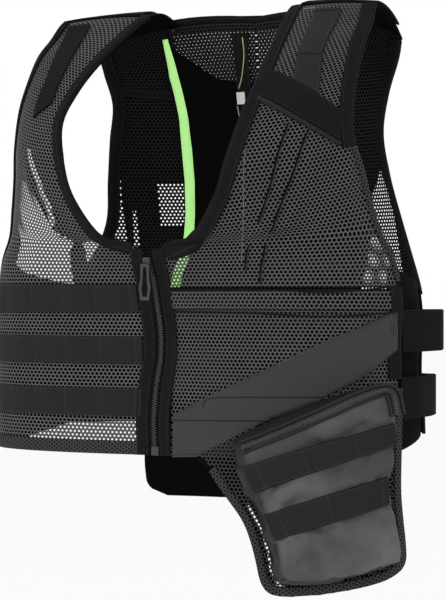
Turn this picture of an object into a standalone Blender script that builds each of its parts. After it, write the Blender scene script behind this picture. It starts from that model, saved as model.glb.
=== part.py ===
"""Utility vest of air-mesh cloth with a front zip, webbing rows, side straps and a hip pocket.

Metres, +Z up. The front faces -Y and the vest's left is +X. The origin is the middle of the
shoulder line, where the vest hangs.
"""

import math

import bmesh
import bpy
import numpy as np
from mathutils import Vector

# Body sizes
BODY_LENGTH = 0.436
HALF_WIDTH = 0.2165
CHEST_DEPTH = 0.128
BACK_DEPTH = 0.115

# Cloth walls and the clearance between two layers
NET_WALL = 0.0018
CLOTH_WALL = 0.0016
LAYER_GAP = 0.0008
BUTT_GAP = 0.0010
FOLD_RISE = 0.0002

# Edges, bands and webbing
NECK_BINDING_RIGHT = 0.008
NECK_BINDING_LEFT = 0.013
ARM_BINDING_RIGHT = 0.008
ARM_BINDING_LEFT = 0.013
ARM_EDGE_LEFT = 0.007
HEM_BAND = 0.016
WEBBING_WIDTH = 0.0255
SIDE_TRIM_WIDTH = 0.015
SIDE_STRAP_WIDTH = 0.038
SIDE_STRAP_WALL = 0.0022
BACK_BINDING = 0.012
NEON_WIDTH = 0.010
POUCH_MARGIN = 0.002
POUCH_SCOOP = 0.030
TAPE_START = 0.007
TAPE_WIDTH = 0.018
LABEL_WIDTH = 0.010
LABEL_LENGTH = 0.012
STRAP_ARCH = 0.012
SEAM_STEP = 0.0016

# Front zip
CHAIN_WIDTH = 0.0062
CHAIN_WALL = 0.0024
PLACKET_WIDTH = 0.013
SLIDER_WIDTH = 0.0076
SLIDER_LENGTH = 0.0125
SLIDER_HEIGHT = 0.0034
PULL_LENGTH = 0.032
PULL_WIDTH = 0.0125
PULL_WALL = 0.0018
PULL_PIN_RADIUS = 0.0009
PIN_CLEARANCE = 0.0004
BOTTOM_BOX_WIDTH = 0.0075
BOTTOM_BOX_LENGTH = 0.008

# Hip pocket
POCKET_DEPTH = 0.025
POCKET_ZIP_DEPTH = 0.014
POCKET_WEBBING = 0.026

# Heights down the front, as shares of BODY_LENGTH
FRONT_HEM = 0.945
BACK_HEM = 0.912
NECK_END = 0.49
CHEST_SPLIT = 0.60
ARM_END = 0.583
ARM_FOLD = 0.34
TRIM_TOP = 0.593
TRIM_END = 0.780
CHAIN_TOP = 0.530
BACK_ARM_END = 0.60
ROW_MARGIN = 0.010

# Front half: rows from the rear end of the shoulder strap, over the crest, down to below the hem.
# Each row runs from the neck or zip edge round a crown point to the armhole or side edge.
# Columns: height, neck (x, y, z), crown (x, y, z), side (x, y, z), as shares of HALF_WIDTH,
# CHEST_DEPTH and BODY_LENGTH
FRONT_ROWS = (
    (-0.130, 0.397, 0.47, -0.005, 0.600, 0.48, -0.014, 0.790, 0.45, -0.036),
    (-0.080, 0.379, 0.35, 0.007, 0.587, 0.35, 0.009, 0.794, 0.28, -0.005),
    (0.000, 0.360, 0.08, 0.007, 0.577, 0.04, 0.014, 0.790, 0.00, 0.000),
    (0.070, 0.397, -0.25, -0.055, 0.600, -0.22, -0.037, 0.808, -0.14, -0.044),
    (0.140, 0.430, -0.55, -0.124, 0.647, -0.47, -0.096, 0.818, -0.28, -0.085),
    (0.190, 0.443, -0.73, -0.174, 0.670, -0.64, -0.150, 0.822, -0.37, -0.128),
    (0.250, 0.443, -0.93, -0.241, 0.684, -0.80, -0.225, 0.827, -0.48, -0.195),
    (0.320, 0.402, -1.02, -0.328, 0.690, -0.92, -0.316, 0.834, -0.53, -0.280),
    (0.390, 0.339, -1.02, -0.413, 0.690, -0.92, -0.395, 0.864, -0.47, -0.356),
    (0.450, 0.217, -0.98, -0.489, 0.690, -0.95, -0.470, 0.891, -0.43, -0.424),
    (0.510, 0.055, -0.95, -0.511, 0.760, -0.95, -0.505, 0.926, -0.38, -0.491),
    (0.535, 0.055, -0.94, -0.535, 0.810, -0.97, -0.532, 0.957, -0.36, -0.522),
    (0.596, 0.055, -0.89, -0.596, 0.880, -1.02, -0.596, 0.990, -0.33, -0.596),
    (0.711, 0.055, -0.81, -0.711, 0.880, -0.98, -0.711, 0.990, -0.33, -0.711),
    (0.850, 0.055, -0.82, -0.850, 0.880, -0.98, -0.850, 0.990, -0.33, -0.850),
    (1.000, 0.055, -0.84, -1.000, 0.880, -1.00, -1.000, 0.990, -0.33, -1.000),
    (1.140, 0.055, -0.85, -1.140, 0.900, -1.02, -1.140, 1.000, -0.30, -1.140),
    (1.280, 0.055, -0.85, -1.280, 0.930, -1.03, -1.280, 1.020, -0.25, -1.280),
)

# Back half, from the collar's top edge to below the tail; each row starts at the centre back.
# Columns as above, with BACK_DEPTH for y
BACK_ROWS = (
    (0.000, 0.0, 0.70, 0.014, 0.508, 0.52, 0.036, 0.778, 0.50, -0.050),
    (0.100, 0.0, 0.74, -0.099, 0.577, 0.87, -0.099, 0.748, 0.52, -0.103),
    (0.175, 0.0, 0.80, -0.174, 0.577, 0.94, -0.174, 0.700, 0.52, -0.174),
    (0.250, 0.0, 0.85, -0.252, 0.577, 0.96, -0.252, 0.690, 0.45, -0.252),
    (0.350, 0.0, 0.90, -0.349, 0.600, 0.97, -0.349, 0.712, 0.48, -0.349),
    (0.450, 0.0, 0.94, -0.450, 0.647, 1.00, -0.450, 0.752, 0.56, -0.450),
    (0.520, 0.0, 0.96, -0.520, 0.716, 1.03, -0.520, 0.785, 0.55, -0.520),
    (0.600, 0.0, 0.97, -0.600, 0.785, 1.04, -0.600, 0.880, 0.40, -0.600),
    (0.780, 0.0, 1.00, -0.780, 0.800, 1.05, -0.780, 0.885, 0.40, -0.780),
    (0.965, 0.0, 1.00, -0.965, 0.800, 1.04, -0.965, 0.900, 0.40, -0.965),
    (1.100, 0.0, 1.00, -1.100, 0.800, 1.04, -1.100, 0.900, 0.40, -1.100),
)

# Heights at which the cloth pieces carry their rows of corners
FRONT_HEIGHTS = (0.0, 0.05, 0.10, 0.15, 0.20, 0.25, 0.30, 0.35, 0.40, 0.435, 0.45, 0.465, 0.478, 0.49,
                 0.51, 0.55, CHEST_SPLIT, 0.65, 0.70, 0.75, 0.80, 0.85, 0.90, FRONT_HEM)
BACK_HEIGHTS = (0.012, 0.06, 0.10, 0.15, 0.20, 0.25, 0.30, 0.35, 0.40, 0.45, 0.50, 0.55,
                0.60, 0.70, 0.80, BACK_HEM)

# Webbing rows on the right front: height of each row's top edge
WEBBING_TOPS = (0.587, 0.696, 0.806)

# Outlines laid on the front or the back. Columns: height and share across at the inner end,
# then height and share across at the outer end
STRIP_RIGHT = (
    (0.030, 0.36, 0.030, 0.66),
    (0.100, 0.34, 0.100, 0.66),
    (0.180, 0.36, 0.180, 0.62),
    (0.262, 0.39, 0.262, 0.43),
)
STRIP_LEFT = (
    (0.030, 0.40, 0.030, 0.68),
    (0.080, 0.38, 0.080, 0.67),
    (0.130, 0.39, 0.145, 0.66),
    (0.190, 0.40, 0.232, 0.65),
)
YOKE_LEFT = (
    (0.180, 0.155, 0.278, 0.86),
    (0.209, 0.160, 0.304, 0.85),
    (0.238, 0.165, 0.330, 0.83),
)
CHANNEL_BAND = (
    (0.597, 0.062, 0.597, 0.905),
    (0.645, 0.060, 0.645, 0.905),
)
REINFORCEMENT = (
    (0.866, 0.065, 0.655, 0.915),
    (0.905, 0.065, 0.700, 0.915),
    (0.940, 0.065, 0.745, 0.915),
)
SKIRT = (
    (0.938, 0.160, 0.800, 0.965),
    (0.965, 0.220, 0.870, 0.985),
    (0.995, 0.265, 0.935, 0.985),
    (1.035, 0.305, 1.005, 0.970),
    (1.080, 0.35, 1.050, 0.975),
    (1.125, 0.385, 1.100, 0.985),
    (1.175, 0.405, 1.145, 0.980),
    (1.205, 0.415, 1.165, 0.940),
    (1.222, 0.450, 1.195, 0.820),
)
POCKET = (
    (0.912, 0.418, 0.803, 0.880),
    (1.020, 0.475, 0.920, 0.900),
    (1.097, 0.520, 1.020, 0.880),
    (1.182, 0.560, 1.150, 0.895),
)
POCKET_ZIP = (
    (0.880, 0.370, 0.766, 0.920),
    (0.906, 0.400, 0.797, 0.900),
)
POCKET_WEBBING_LINES = (
    (0.956, 0.445, 0.873, 0.890),
    (1.044, 0.515, 0.970, 0.860),
)
# Inner edge of the neon piping down each side of the protector pouch: height, share across
NEON = (
    (0.040, 0.540),
    (0.160, 0.535),
    (0.290, 0.500),
    (0.390, 0.486),
    (0.470, 0.478),
    (0.550, 0.462),
)
# The tail's side edge: share of its drop, and half width as a share of the back's
TAIL = (
    (0.000, 0.640),
    (0.300, 0.640),
    (0.600, 0.640),
    (0.850, 0.630),
    (0.950, 0.600),
    (1.000, 0.530),
)
# Shoulder strap behind the crest: where its inner edge meets the back, and the flap's reach
STRAP_SEAM = 0.48
FLAP_START = 0.10
FLAP_END = 1.02
FLAP_REACH = 0.80
TAIL_END = 1.075
# Share of a run used on each side of a place to find its direction
STEP = 0.02


class Form:
    """A curved half of the body: rows of corner points with a smooth run between and along them."""

    def __init__(self, rows, depth, outward):
        table = np.array(rows)
        scale = np.array((HALF_WIDTH, depth, BODY_LENGTH) * 3)
        self.heights = table[:, 0]
        self.corners = table[:, 1:] * scale
        self.slopes = np.gradient(self.corners, self.heights, axis=0)
        self.outward = outward
        self.cache = {}

    def row(self, height):
        """Points along one row, and their distances from its inner end."""
        if height in self.cache:
            return self.cache[height]
        last = len(self.heights) - 2
        i = int(np.clip(np.searchsorted(self.heights, height, side="right") - 1, 0, last))
        span = self.heights[i + 1] - self.heights[i]
        t = (height - self.heights[i]) / span
        mixed = (
            (2 * t**3 - 3 * t**2 + 1) * self.corners[i]
            + (t**3 - 2 * t**2 + t) * span * self.slopes[i]
            + (3 * t**2 - 2 * t**3) * self.corners[i + 1]
            + (t**3 - t**2) * span * self.slopes[i + 1]
        )
        inner, crown, outer = mixed.reshape(3, 3)
        u = np.linspace(0, 1, 33)[:, None]
        points = (1 - u) ** 2 * inner + 2 * u * (1 - u) * crown + u**2 * outer
        steps = np.linalg.norm(np.diff(points, axis=0), axis=1)
        self.cache[height] = points, np.concatenate([[0], np.cumsum(steps)])
        return self.cache[height]

    def width(self, height):
        return self.row(height)[1][-1]

    def on(self, height, distance):
        """The point this far along a row, which goes on straight past either end."""
        points, distances = self.row(height)
        at = np.array([np.interp(distance, distances, points[:, k]) for k in range(3)])
        if distance < 0:
            return at + (points[1] - points[0]) * distance / distances[1]
        if distance > distances[-1]:
            beyond = (distance - distances[-1]) / (distances[-1] - distances[-2])
            return at + (points[-1] - points[-2]) * beyond
        return at

    def slopes_at(self, height, distance):
        """Change of place per unit of height, and per metre across."""
        dh, dd = 0.004, 0.002
        down = (self.on(height + dh, distance) - self.on(height - dh, distance)) / (2 * dh)
        across = (self.on(height, distance + dd) - self.on(height, distance - dd)) / (2 * dd)
        return down, across

    def place(self, height, distance, lift=0.0, side=1):
        down, across = self.slopes_at(height, distance)
        normal = np.cross(down, across) * self.outward
        at = self.on(height, distance) + normal / np.linalg.norm(normal) * lift
        return Vector((at[0] * side, at[1], at[2]))

    def inset(self, height, amount, towards):
        """A place this far inside an edge, square to it. towards is 1 at the neck, -1 at the side."""
        dh, steps = 0.004, 8
        distance = 0.0 if towards > 0 else self.width(height)
        above, below = height - dh, height + dh
        if towards > 0:
            edge = self.on(below, 0) - self.on(above, 0)
        else:
            edge = self.on(below, self.width(below)) - self.on(above, self.width(above))
        for _ in range(steps):
            down, across = self.slopes_at(height, distance + 0.003 * towards)
            square = np.cross(np.cross(down, across), edge) * towards
            square = square / np.linalg.norm(square)
            shift = np.linalg.lstsq(np.stack([down, across], 1), square, rcond=None)[0]
            height += shift[0] * amount / steps
            distance += shift[1] * amount / steps
        return height, distance


FRONT = Form(FRONT_ROWS, CHEST_DEPTH, 1)
BACK = Form(BACK_ROWS, BACK_DEPTH, -1)

LAYER_STEP = (NET_WALL + CLOTH_WALL) / 2 + LAYER_GAP
SECOND_STEP = LAYER_STEP + CLOTH_WALL + LAYER_GAP
THIRD_STEP = SECOND_STEP + CLOTH_WALL + LAYER_GAP
POCKET_FLOOR = LAYER_STEP + CLOTH_WALL / 2 + LAYER_GAP
POCKET_FACE = POCKET_FLOOR + POCKET_DEPTH


def clear_scene():
    for item in list(bpy.data.objects):
        bpy.data.objects.remove(item)


def material(name, colour, roughness, metallic=0.0):
    """A plain Principled material, made once for each name."""
    found = bpy.data.materials.get(name)
    if found:
        return found
    made = bpy.data.materials.new(name)
    made.use_nodes = True
    shader = made.node_tree.nodes["Principled BSDF"]
    shader.inputs["Base Color"].default_value = (*colour, 1.0)
    shader.inputs["Roughness"].default_value = roughness
    shader.inputs["Metallic"].default_value = metallic
    return made


def net_material():
    return material("net", (0.035, 0.035, 0.037), 0.80)


def cloth_material():
    return material("cloth", (0.012, 0.012, 0.013), 0.85)


def webbing_material():
    return material("webbing", (0.020, 0.020, 0.021), 0.75)


def rubberised_material():
    return material("rubberised", (0.050, 0.050, 0.053), 0.55)


def neon_material():
    return material("neon", (0.42, 0.86, 0.22), 0.60)


def label_material():
    return material("label", (0.75, 0.75, 0.75), 0.70)


def metal_material():
    return material("zip_metal", (0.10, 0.10, 0.11), 0.40, 0.8)


def finish(name, bm, look, smooth=True):
    bmesh.ops.recalc_face_normals(bm, faces=bm.faces)
    if bm.calc_volume(signed=True) < 0:
        bmesh.ops.reverse_faces(bm, faces=bm.faces)
    mesh = bpy.data.meshes.new(name)
    bm.to_mesh(mesh)
    bm.free()
    if smooth:
        mesh.shade_smooth()
        mesh.set_sharp_from_angle(angle=math.radians(40))
    mesh.materials.append(look)
    made = bpy.data.objects.new(name, mesh)
    bpy.context.scene.collection.objects.link(made)
    return made


def slab(name, look, columns, rows, low, high, place):
    """A closed sheet of cloth. place takes shares across and down and a lift; low and high are lifts."""
    bm = bmesh.new()
    bmesh.ops.create_grid(bm, x_segments=columns, y_segments=rows, size=0.5)
    lower = list(bm.verts)
    raised = bmesh.ops.extrude_face_region(bm, geom=list(bm.faces))
    upper = [item for item in raised["geom"] if isinstance(item, bmesh.types.BMVert)]
    for verts, lift in ((lower, low), (upper, high)):
        for vert in verts:
            across, down = vert.co.x + 0.5, vert.co.y + 0.5
            vert.co = place(across, down, lift(across, down) if callable(lift) else lift)
    return finish(name, bm, look)


def along(values, share):
    """The value this share of the way through a list."""
    at = share * (len(values) - 1)
    i = min(int(at), len(values) - 2)
    return values[i] + (values[i + 1] - values[i]) * (at - i)


def panel(name, look, form, side, inner, outer, columns, lift, wall):
    """A sheet between two edges, each a list of (height, distance) with as many entries."""
    rows = len(inner) - 1
    inner_edge = [np.array(corner) for corner in inner]
    outer_edge = [np.array(corner) for corner in outer]

    def place(across, down, raised):
        start, end = along(inner_edge, down), along(outer_edge, down)
        height, distance = start + (end - start) * across
        return form.place(height, distance, raised, side)

    return slab(name, look, columns, rows, lift - wall / 2, lift + wall / 2, place)


def edge_run(form, heights, towards, amount=0.0):
    """Places along the neck edge (towards 1) or the side edge (towards -1), this far inside it."""
    places = []
    for height in heights:
        if amount:
            places.append(form.inset(height, amount, towards))
        else:
            places.append((height, 0.0 if towards > 0 else form.width(height)))
    return places


def outline_edges(form, table, rows):
    """The inner and outer edges of an outline table, filled in to this many rows."""
    inner, outer = [], []
    for k in range(rows + 1):
        line = along([np.array(row) for row in table], k / rows)
        inner.append((line[0], line[1] * form.width(line[0])))
        outer.append((line[2], line[3] * form.width(line[2])))
    return inner, outer


def between(heights, low, high):
    """The listed heights inside a range, with the range's own ends."""
    return [low] + [h for h in heights if low + ROW_MARGIN < h < high - ROW_MARGIN] + [high]


def front_nets():
    heights = list(FRONT_HEIGHTS)
    panel("front_right_net", net_material(), FRONT, -1, edge_run(FRONT, heights, 1),
          edge_run(FRONT, heights, -1), 15, 0.0, NET_WALL)
    split = FRONT_HEIGHTS.index(CHEST_SPLIT)
    upper, lower = heights[:split + 1], heights[split:]
    lower[0] = upper[-1] + BUTT_GAP / BODY_LENGTH
    panel("front_left_chest_net", net_material(), FRONT, 1, edge_run(FRONT, upper, 1),
          edge_run(FRONT, upper, -1), 15, 0.0, NET_WALL)
    panel("front_left_waist_net", net_material(), FRONT, 1, edge_run(FRONT, lower, 1),
          edge_run(FRONT, lower, -1), 15, 0.0, NET_WALL)


def binding(name, form, side, heights, towards, width, look=None):
    """A folded tape laid along an edge."""
    panel(name, look or cloth_material(), form, side, edge_run(form, heights, towards),
          edge_run(form, heights, towards, width), 3, LAYER_STEP + FOLD_RISE, CLOTH_WALL)


def front_bindings():
    start = BUTT_GAP / BODY_LENGTH * 2
    neck = between(FRONT_HEIGHTS, start, NECK_END)
    arm = between(FRONT_HEIGHTS, start, ARM_END)
    binding("neck_binding_right", FRONT, -1, neck, 1, NECK_BINDING_RIGHT)
    binding("neck_binding_left", FRONT, 1, neck, 1, NECK_BINDING_LEFT)
    binding("arm_binding_right", FRONT, -1, arm, -1, ARM_BINDING_RIGHT)
    upper = between(FRONT_HEIGHTS, start, ARM_FOLD)
    binding("arm_binding_left", FRONT, 1, upper, -1, ARM_BINDING_LEFT)
    low = between(FRONT_HEIGHTS, ARM_FOLD + BUTT_GAP / BODY_LENGTH * 2, ARM_END)
    binding("arm_edge_left", FRONT, 1, low, -1, ARM_EDGE_LEFT, net_material())


def outlined(name, look, table, side, columns, rows, lift, wall=CLOTH_WALL, form=FRONT):
    inner, outer = outline_edges(form, table, rows)
    return panel(name, look, form, side, inner, outer, columns, lift, wall)


def front_patches():
    """The solid cloth laid over the nets."""
    outlined("shoulder_strip_right", cloth_material(), STRIP_RIGHT, -1, 2, 5, LAYER_STEP)
    outlined("shoulder_strip_left", cloth_material(), STRIP_LEFT, 1, 3, 6, LAYER_STEP + FOLD_RISE)
    outlined("yoke_left", cloth_material(), YOKE_LEFT, 1, 9, 3, LAYER_STEP + FOLD_RISE)
    outlined("channel_band", net_material(), CHANNEL_BAND, 1, 13, 1, LAYER_STEP)
    outlined("reinforcement_left", rubberised_material(), REINFORCEMENT, 1, 13, 3, LAYER_STEP)
    trim = between(FRONT_HEIGHTS, TRIM_TOP, TRIM_END)
    start = [(height, FRONT.width(height) - SIDE_TRIM_WIDTH) for height in trim]
    end = [(height, FRONT.width(height)) for height in trim]
    panel("side_trim_left", cloth_material(), FRONT, 1, start, end, 1, LAYER_STEP, CLOTH_WALL)


def webbing_rows():
    """Three rows of webbing across the right front, from the placket to the side edge."""
    for number, top in enumerate(WEBBING_TOPS, 1):
        heights = (top, top + WEBBING_WIDTH / BODY_LENGTH)
        inner = [(height, PLACKET_WIDTH / 2 + BUTT_GAP) for height in heights]
        outer = [(height, FRONT.width(height)) for height in heights]
        panel(f"webbing_row_{number}", webbing_material(), FRONT, -1, inner, outer, 15,
              LAYER_STEP, CLOTH_WALL)


def front_hem():
    """The folded hem along the foot of the right front."""
    heights = (FRONT_HEM - HEM_BAND / BODY_LENGTH, FRONT_HEM)
    inner = [(h, PLACKET_WIDTH / 2 + BUTT_GAP) for h in heights]
    outer = [(h, FRONT.width(h)) for h in heights]
    panel("hem_right", net_material(), FRONT, -1, inner, outer, 15, LAYER_STEP, CLOTH_WALL)


def zip_front():
    """Plackets, tapes, chain, bottom box and slider down the middle of the front."""
    heights = between(FRONT_HEIGHTS, CHAIN_TOP, FRONT_HEM)
    rows = len(heights) - 1
    tape_start = CHAIN_WIDTH / 2 + BUTT_GAP / 2

    def chain_place(across, down, lift):
        at = FRONT.place(along(heights, down), 0.0, lift)
        return Vector(((across - 0.5) * CHAIN_WIDTH, at.y, at.z))

    slab("zip_chain", metal_material(), 1, rows, -NET_WALL / 2, CHAIN_WALL - NET_WALL / 2,
         chain_place)
    for word, side in (("right", -1), ("left", 1)):
        inner = [(h, -PLACKET_WIDTH / 2) for h in heights]
        outer = [(h, PLACKET_WIDTH / 2) for h in heights]
        panel(f"placket_{word}", cloth_material(), FRONT, side, inner, outer, 1, LAYER_STEP,
              CLOTH_WALL)

        def tape_place(across, down, lift, side=side):
            at = FRONT.place(along(heights, down), 0.0, lift)
            end = at.x - BUTT_GAP / 2
            return Vector(((tape_start + (end - tape_start) * across) * side, at.y, at.z))

        slab(f"zip_tape_{word}", cloth_material(), 1, rows, -NET_WALL / 2, NET_WALL / 2,
             tape_place)


def zip_point(height, lift):
    at = FRONT.place(height, 0.0, lift)
    return Vector((0.0, at.y, at.z))


def block(name, look, size, centre, tilt=0.0):
    """A plain bar with softened edges, leaned about the X axis by tilt."""
    bm = bmesh.new()
    bmesh.ops.create_cube(bm, size=1.0)
    bmesh.ops.scale(bm, vec=size, verts=bm.verts)
    bmesh.ops.bevel(bm, geom=list(bm.edges), offset=min(size) * 0.18, segments=1, profile=0.5,
                    affect="EDGES", material=-1)
    made = finish(name, bm, look)
    made.location = centre
    made.rotation_euler.x = tilt
    return made


def chain_lean(low, high):
    """How far the zip leans from upright between two heights."""
    run = zip_point(high, 0.0) - zip_point(low, 0.0)
    return math.atan2(run.y, -run.z)


def zip_fittings():
    chain_face = CHAIN_WALL - NET_WALL / 2
    slider_low = CHAIN_TOP + SLIDER_LENGTH / BODY_LENGTH
    lean = chain_lean(CHAIN_TOP, slider_low)
    mid = (CHAIN_TOP + slider_low) / 2
    body = zip_point(mid, chain_face + LAYER_GAP / 2 + SLIDER_HEIGHT / 2)
    block("zip_slider", metal_material(), (SLIDER_WIDTH, SLIDER_HEIGHT, SLIDER_LENGTH), body,
          lean)
    box = zip_point(FRONT_HEM - BOTTOM_BOX_LENGTH / BODY_LENGTH / 2,
                    chain_face + LAYER_GAP / 2 + CLOTH_WALL / 2)
    block("zip_bottom_box", metal_material(), (BOTTOM_BOX_WIDTH, CLOTH_WALL, BOTTOM_BOX_LENGTH),
          box, chain_lean(0.90, FRONT_HEM))
    axis = zip_point(mid, chain_face + LAYER_GAP / 2 + SLIDER_HEIGHT + PIN_CLEARANCE * 2
                     + PULL_PIN_RADIUS)
    zip_pull(axis)


def zip_pull(axis):
    """A hanging tab: a cross pin, two legs, a bar and an open six-sided loop."""
    wide, wall = PULL_WIDTH / 2, PULL_WALL / 2
    leg = wide * 0.72
    # Outline of the right half, from the pin to the foot: (half width, share of the length down)
    outer = ((leg, -0.03), (leg, 0.30), (wide * 0.80, 0.46), (wide, 0.60), (wide * 0.72, 1.0))
    inner = ((leg * 0.42, 0.06), (leg * 0.42, 0.26), (wide * 0.42, 0.52), (wide * 0.55, 0.66),
             (wide * 0.36, 0.90))
    bm = bmesh.new()
    rings = []
    for half in (outer, inner):
        right = [(x, share) for x, share in half]
        ring = right + [(-x, share) for x, share in reversed(right)]
        verts = [bm.verts.new((x, -wall, -share * PULL_LENGTH)) for x, share in ring]
        rings.append(verts)
    edges = []
    for verts in rings:
        for i, vert in enumerate(verts):
            edges.append(bm.edges.new((vert, verts[(i + 1) % len(verts)])))
    bmesh.ops.bridge_loops(bm, edges=edges)
    raised = bmesh.ops.extrude_face_region(bm, geom=list(bm.faces))
    verts = [item for item in raised["geom"] if isinstance(item, bmesh.types.BMVert)]
    bmesh.ops.translate(bm, vec=(0, PULL_WALL, 0), verts=verts)
    made = finish("zip_pull", bm, metal_material(), smooth=False)
    made.location = axis
    return made


def pocket():
    """A boxy pocket on a net skirt that hangs from the reinforcement over the left hip."""
    outlined("pocket_skirt_net", net_material(), SKIRT, 1, 11, 12, LAYER_STEP + FOLD_RISE)
    inner, outer = outline_edges(FRONT, POCKET, 8)
    inner_edge = [np.array(corner) for corner in inner]
    outer_edge = [np.array(corner) for corner in outer]

    def place(across, down, lift):
        across = 0.5 - 0.5 * math.cos(math.pi * across)
        down = 0.5 - 0.5 * math.cos(math.pi * down)
        start, end = along(inner_edge, down), along(outer_edge, down)
        height, distance = start + (end - start) * across
        return FRONT.place(height, distance, lift)

    def face(across, down):
        edge = min(1.0, 6.0 * min(across, 1 - across, down, 1 - down))
        return POCKET_FLOOR + POCKET_DEPTH * (0.62 + 0.38 * math.sqrt(edge))

    slab("pocket_body", rubberised_material(), 9, 8, POCKET_FLOOR, face, place)

    inner, outer = outline_edges(FRONT, POCKET_ZIP, 2)
    panel("pocket_zip", cloth_material(), FRONT, 1, inner, outer, 8,
          POCKET_FLOOR + POCKET_ZIP_DEPTH / 2, POCKET_ZIP_DEPTH)
    face_lift = POCKET_FACE + LAYER_GAP + CLOTH_WALL / 2
    drop = POCKET_WEBBING / BODY_LENGTH
    for number, (start, start_share, end, end_share) in enumerate(POCKET_WEBBING_LINES, 1):
        table = ((start, start_share, end, end_share),
                 (start + drop, start_share + 0.02, end + drop * 0.9, end_share))
        outlined(f"pocket_webbing_{number}", webbing_material(), table, 1, 8, 1, face_lift)


def back_sheet(name, look, edge, columns, lift, wall, scoop=0.0):
    """A sheet over both halves of the back; edge lists (height, distance) of its side edge.

    scoop is how far the middle of its top edge hangs below the corners.
    """
    rows = len(edge) - 1
    corners = [np.array(corner) for corner in edge]

    def place(across, down, raised):
        height, reach = along(corners, down)
        signed = 2 * across - 1
        height += scoop / BODY_LENGTH * (1 - signed**2) * (1 - down) ** 2
        return BACK.place(height, abs(signed) * reach, raised, 1 if signed >= 0 else -1)

    return slab(name, look, columns, rows, lift - wall / 2, lift + wall / 2, place)


def back():
    """Net back with a protector pouch, neon piping, tail and bindings."""
    edge = [(h, BACK.width(h)) for h in BACK_HEIGHTS]
    back_sheet("back_net", net_material(), edge, 22, 0.0, NET_WALL)
    piping = [along([np.array(row) for row in NEON], k / 9) for k in range(10)]
    inner = [(h, share * BACK.width(h)) for h, share in piping]
    outer = [(h, d + NEON_WIDTH) for h, d in inner]
    pouch = [(h, d + POUCH_MARGIN) for h, d in outer]
    back_sheet("protector_pouch", cloth_material(), pouch, 16, -LAYER_STEP, CLOTH_WALL,
               POUCH_SCOOP)
    tail_top = BACK_HEM + BUTT_GAP / BODY_LENGTH
    drop = TAIL_END - tail_top
    tail = [(tail_top + share * drop, reach * BACK.width(tail_top)) for share, reach in TAIL]
    back_sheet("back_tail", cloth_material(), tail, 14, 0.0, NET_WALL)
    top = BACK_HEIGHTS[0]
    collar = [(h, BACK.width(h) * 0.50) for h in (top, top + BACK_BINDING / BODY_LENGTH)]
    back_sheet("collar_binding", cloth_material(), collar, 12, LAYER_STEP, CLOTH_WALL)
    hem = [(h, BACK.width(h)) for h in (BACK_HEM - HEM_BAND / BODY_LENGTH, BACK_HEM)]
    back_sheet("back_hem", cloth_material(), hem, 22, LAYER_STEP, CLOTH_WALL)
    heights = between(BACK_HEIGHTS, BACK_HEIGHTS[0] + 0.02, BACK_ARM_END)
    for word, side in (("right", -1), ("left", 1)):
        binding(f"back_binding_{word}", BACK, side, heights, -1, BACK_BINDING)
        panel(f"neon_piping_{word}", neon_material(), BACK, side, inner, outer, 1,
              -SECOND_STEP - FOLD_RISE, CLOTH_WALL)
    rows = (0.030, 0.080, 0.130, 0.180, 0.218)
    panel("collar_tape", cloth_material(), BACK, -1, [(h, TAPE_START) for h in rows],
          [(h, TAPE_START + TAPE_WIDTH) for h in rows], 1, -SECOND_STEP, CLOTH_WALL)
    rows = (0.150, 0.150 + LABEL_LENGTH / BODY_LENGTH)
    middle = TAPE_START + TAPE_WIDTH / 2
    panel("size_label", label_material(), BACK, -1, [(h, middle - LABEL_WIDTH / 2) for h in rows],
          [(h, middle + LABEL_WIDTH / 2) for h in rows], 1, -THIRD_STEP, CLOTH_WALL)


def rear_place(across, down, lift, side):
    """On the strap between the crest and the back's top edge. down is 0 at the crest, 1 at the seam."""

    def strap(share, drop):
        start = FRONT.place(-BUTT_GAP / BODY_LENGTH, share * FRONT.width(0.0))
        seam = BACK_HEIGHTS[0] - SEAM_STEP / BODY_LENGTH
        end = BACK.place(seam, (STRAP_SEAM + (1 - STRAP_SEAM) * share) * BACK.width(seam))
        crest = (start + end) / 2 + Vector((0, 0, STRAP_ARCH))
        return start * (1 - drop) ** 2 + crest * 2 * drop * (1 - drop) + end * drop**2

    at = strap(across, down)
    sideways = strap(across + STEP, down) - strap(across - STEP, down)
    rearward = strap(across, down + STEP) - strap(across, down - STEP)
    normal = sideways.cross(rearward).normalized()
    at = at + normal * lift
    return Vector((at.x * side, at.y, at.z))


def shoulders():
    """The rear part of each shoulder strap and the closing flap over its crest."""
    for word, side in (("right", -1), ("left", 1)):
        slab(f"shoulder_rear_{word}", net_material(), 7, 5, -NET_WALL / 2, NET_WALL / 2,
             lambda across, down, lift, side=side: rear_place(across, down, lift, side))
        slab(f"shoulder_flap_{word}", webbing_material(), 6, 4, LAYER_STEP - CLOTH_WALL / 2,
             LAYER_STEP + CLOTH_WALL / 2,
             lambda across, down, lift, side=side: rear_place(
                 FLAP_START + (FLAP_END - FLAP_START) * across,
                 down * FLAP_REACH, lift, side))


# Side straps: height of the top edge, and the run from the front edge to the back in plan, as
# shares of HALF_WIDTH and of BACK_DEPTH
SIDE_STRAPS = (
    ("upper", 0.640, ((1.000, 0.02), (0.985, 0.42), (0.935, 0.66))),
    ("lower", 0.778, ((0.985, 0.02), (0.955, 0.36), (0.915, 0.60))),
)
# Side flaps that reach forward from the back under the front's side edge: the run in plan as
# above, then the height of the top and the foot at the back end and at the front end
SIDE_FLAP_RUN = ((0.940, 0.20), (0.950, -0.06), (0.935, -0.36))
SIDE_FLAP_TOP = (0.590, 0.552)
SIDE_FLAP_FOOT = (0.905, 0.940)


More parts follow.
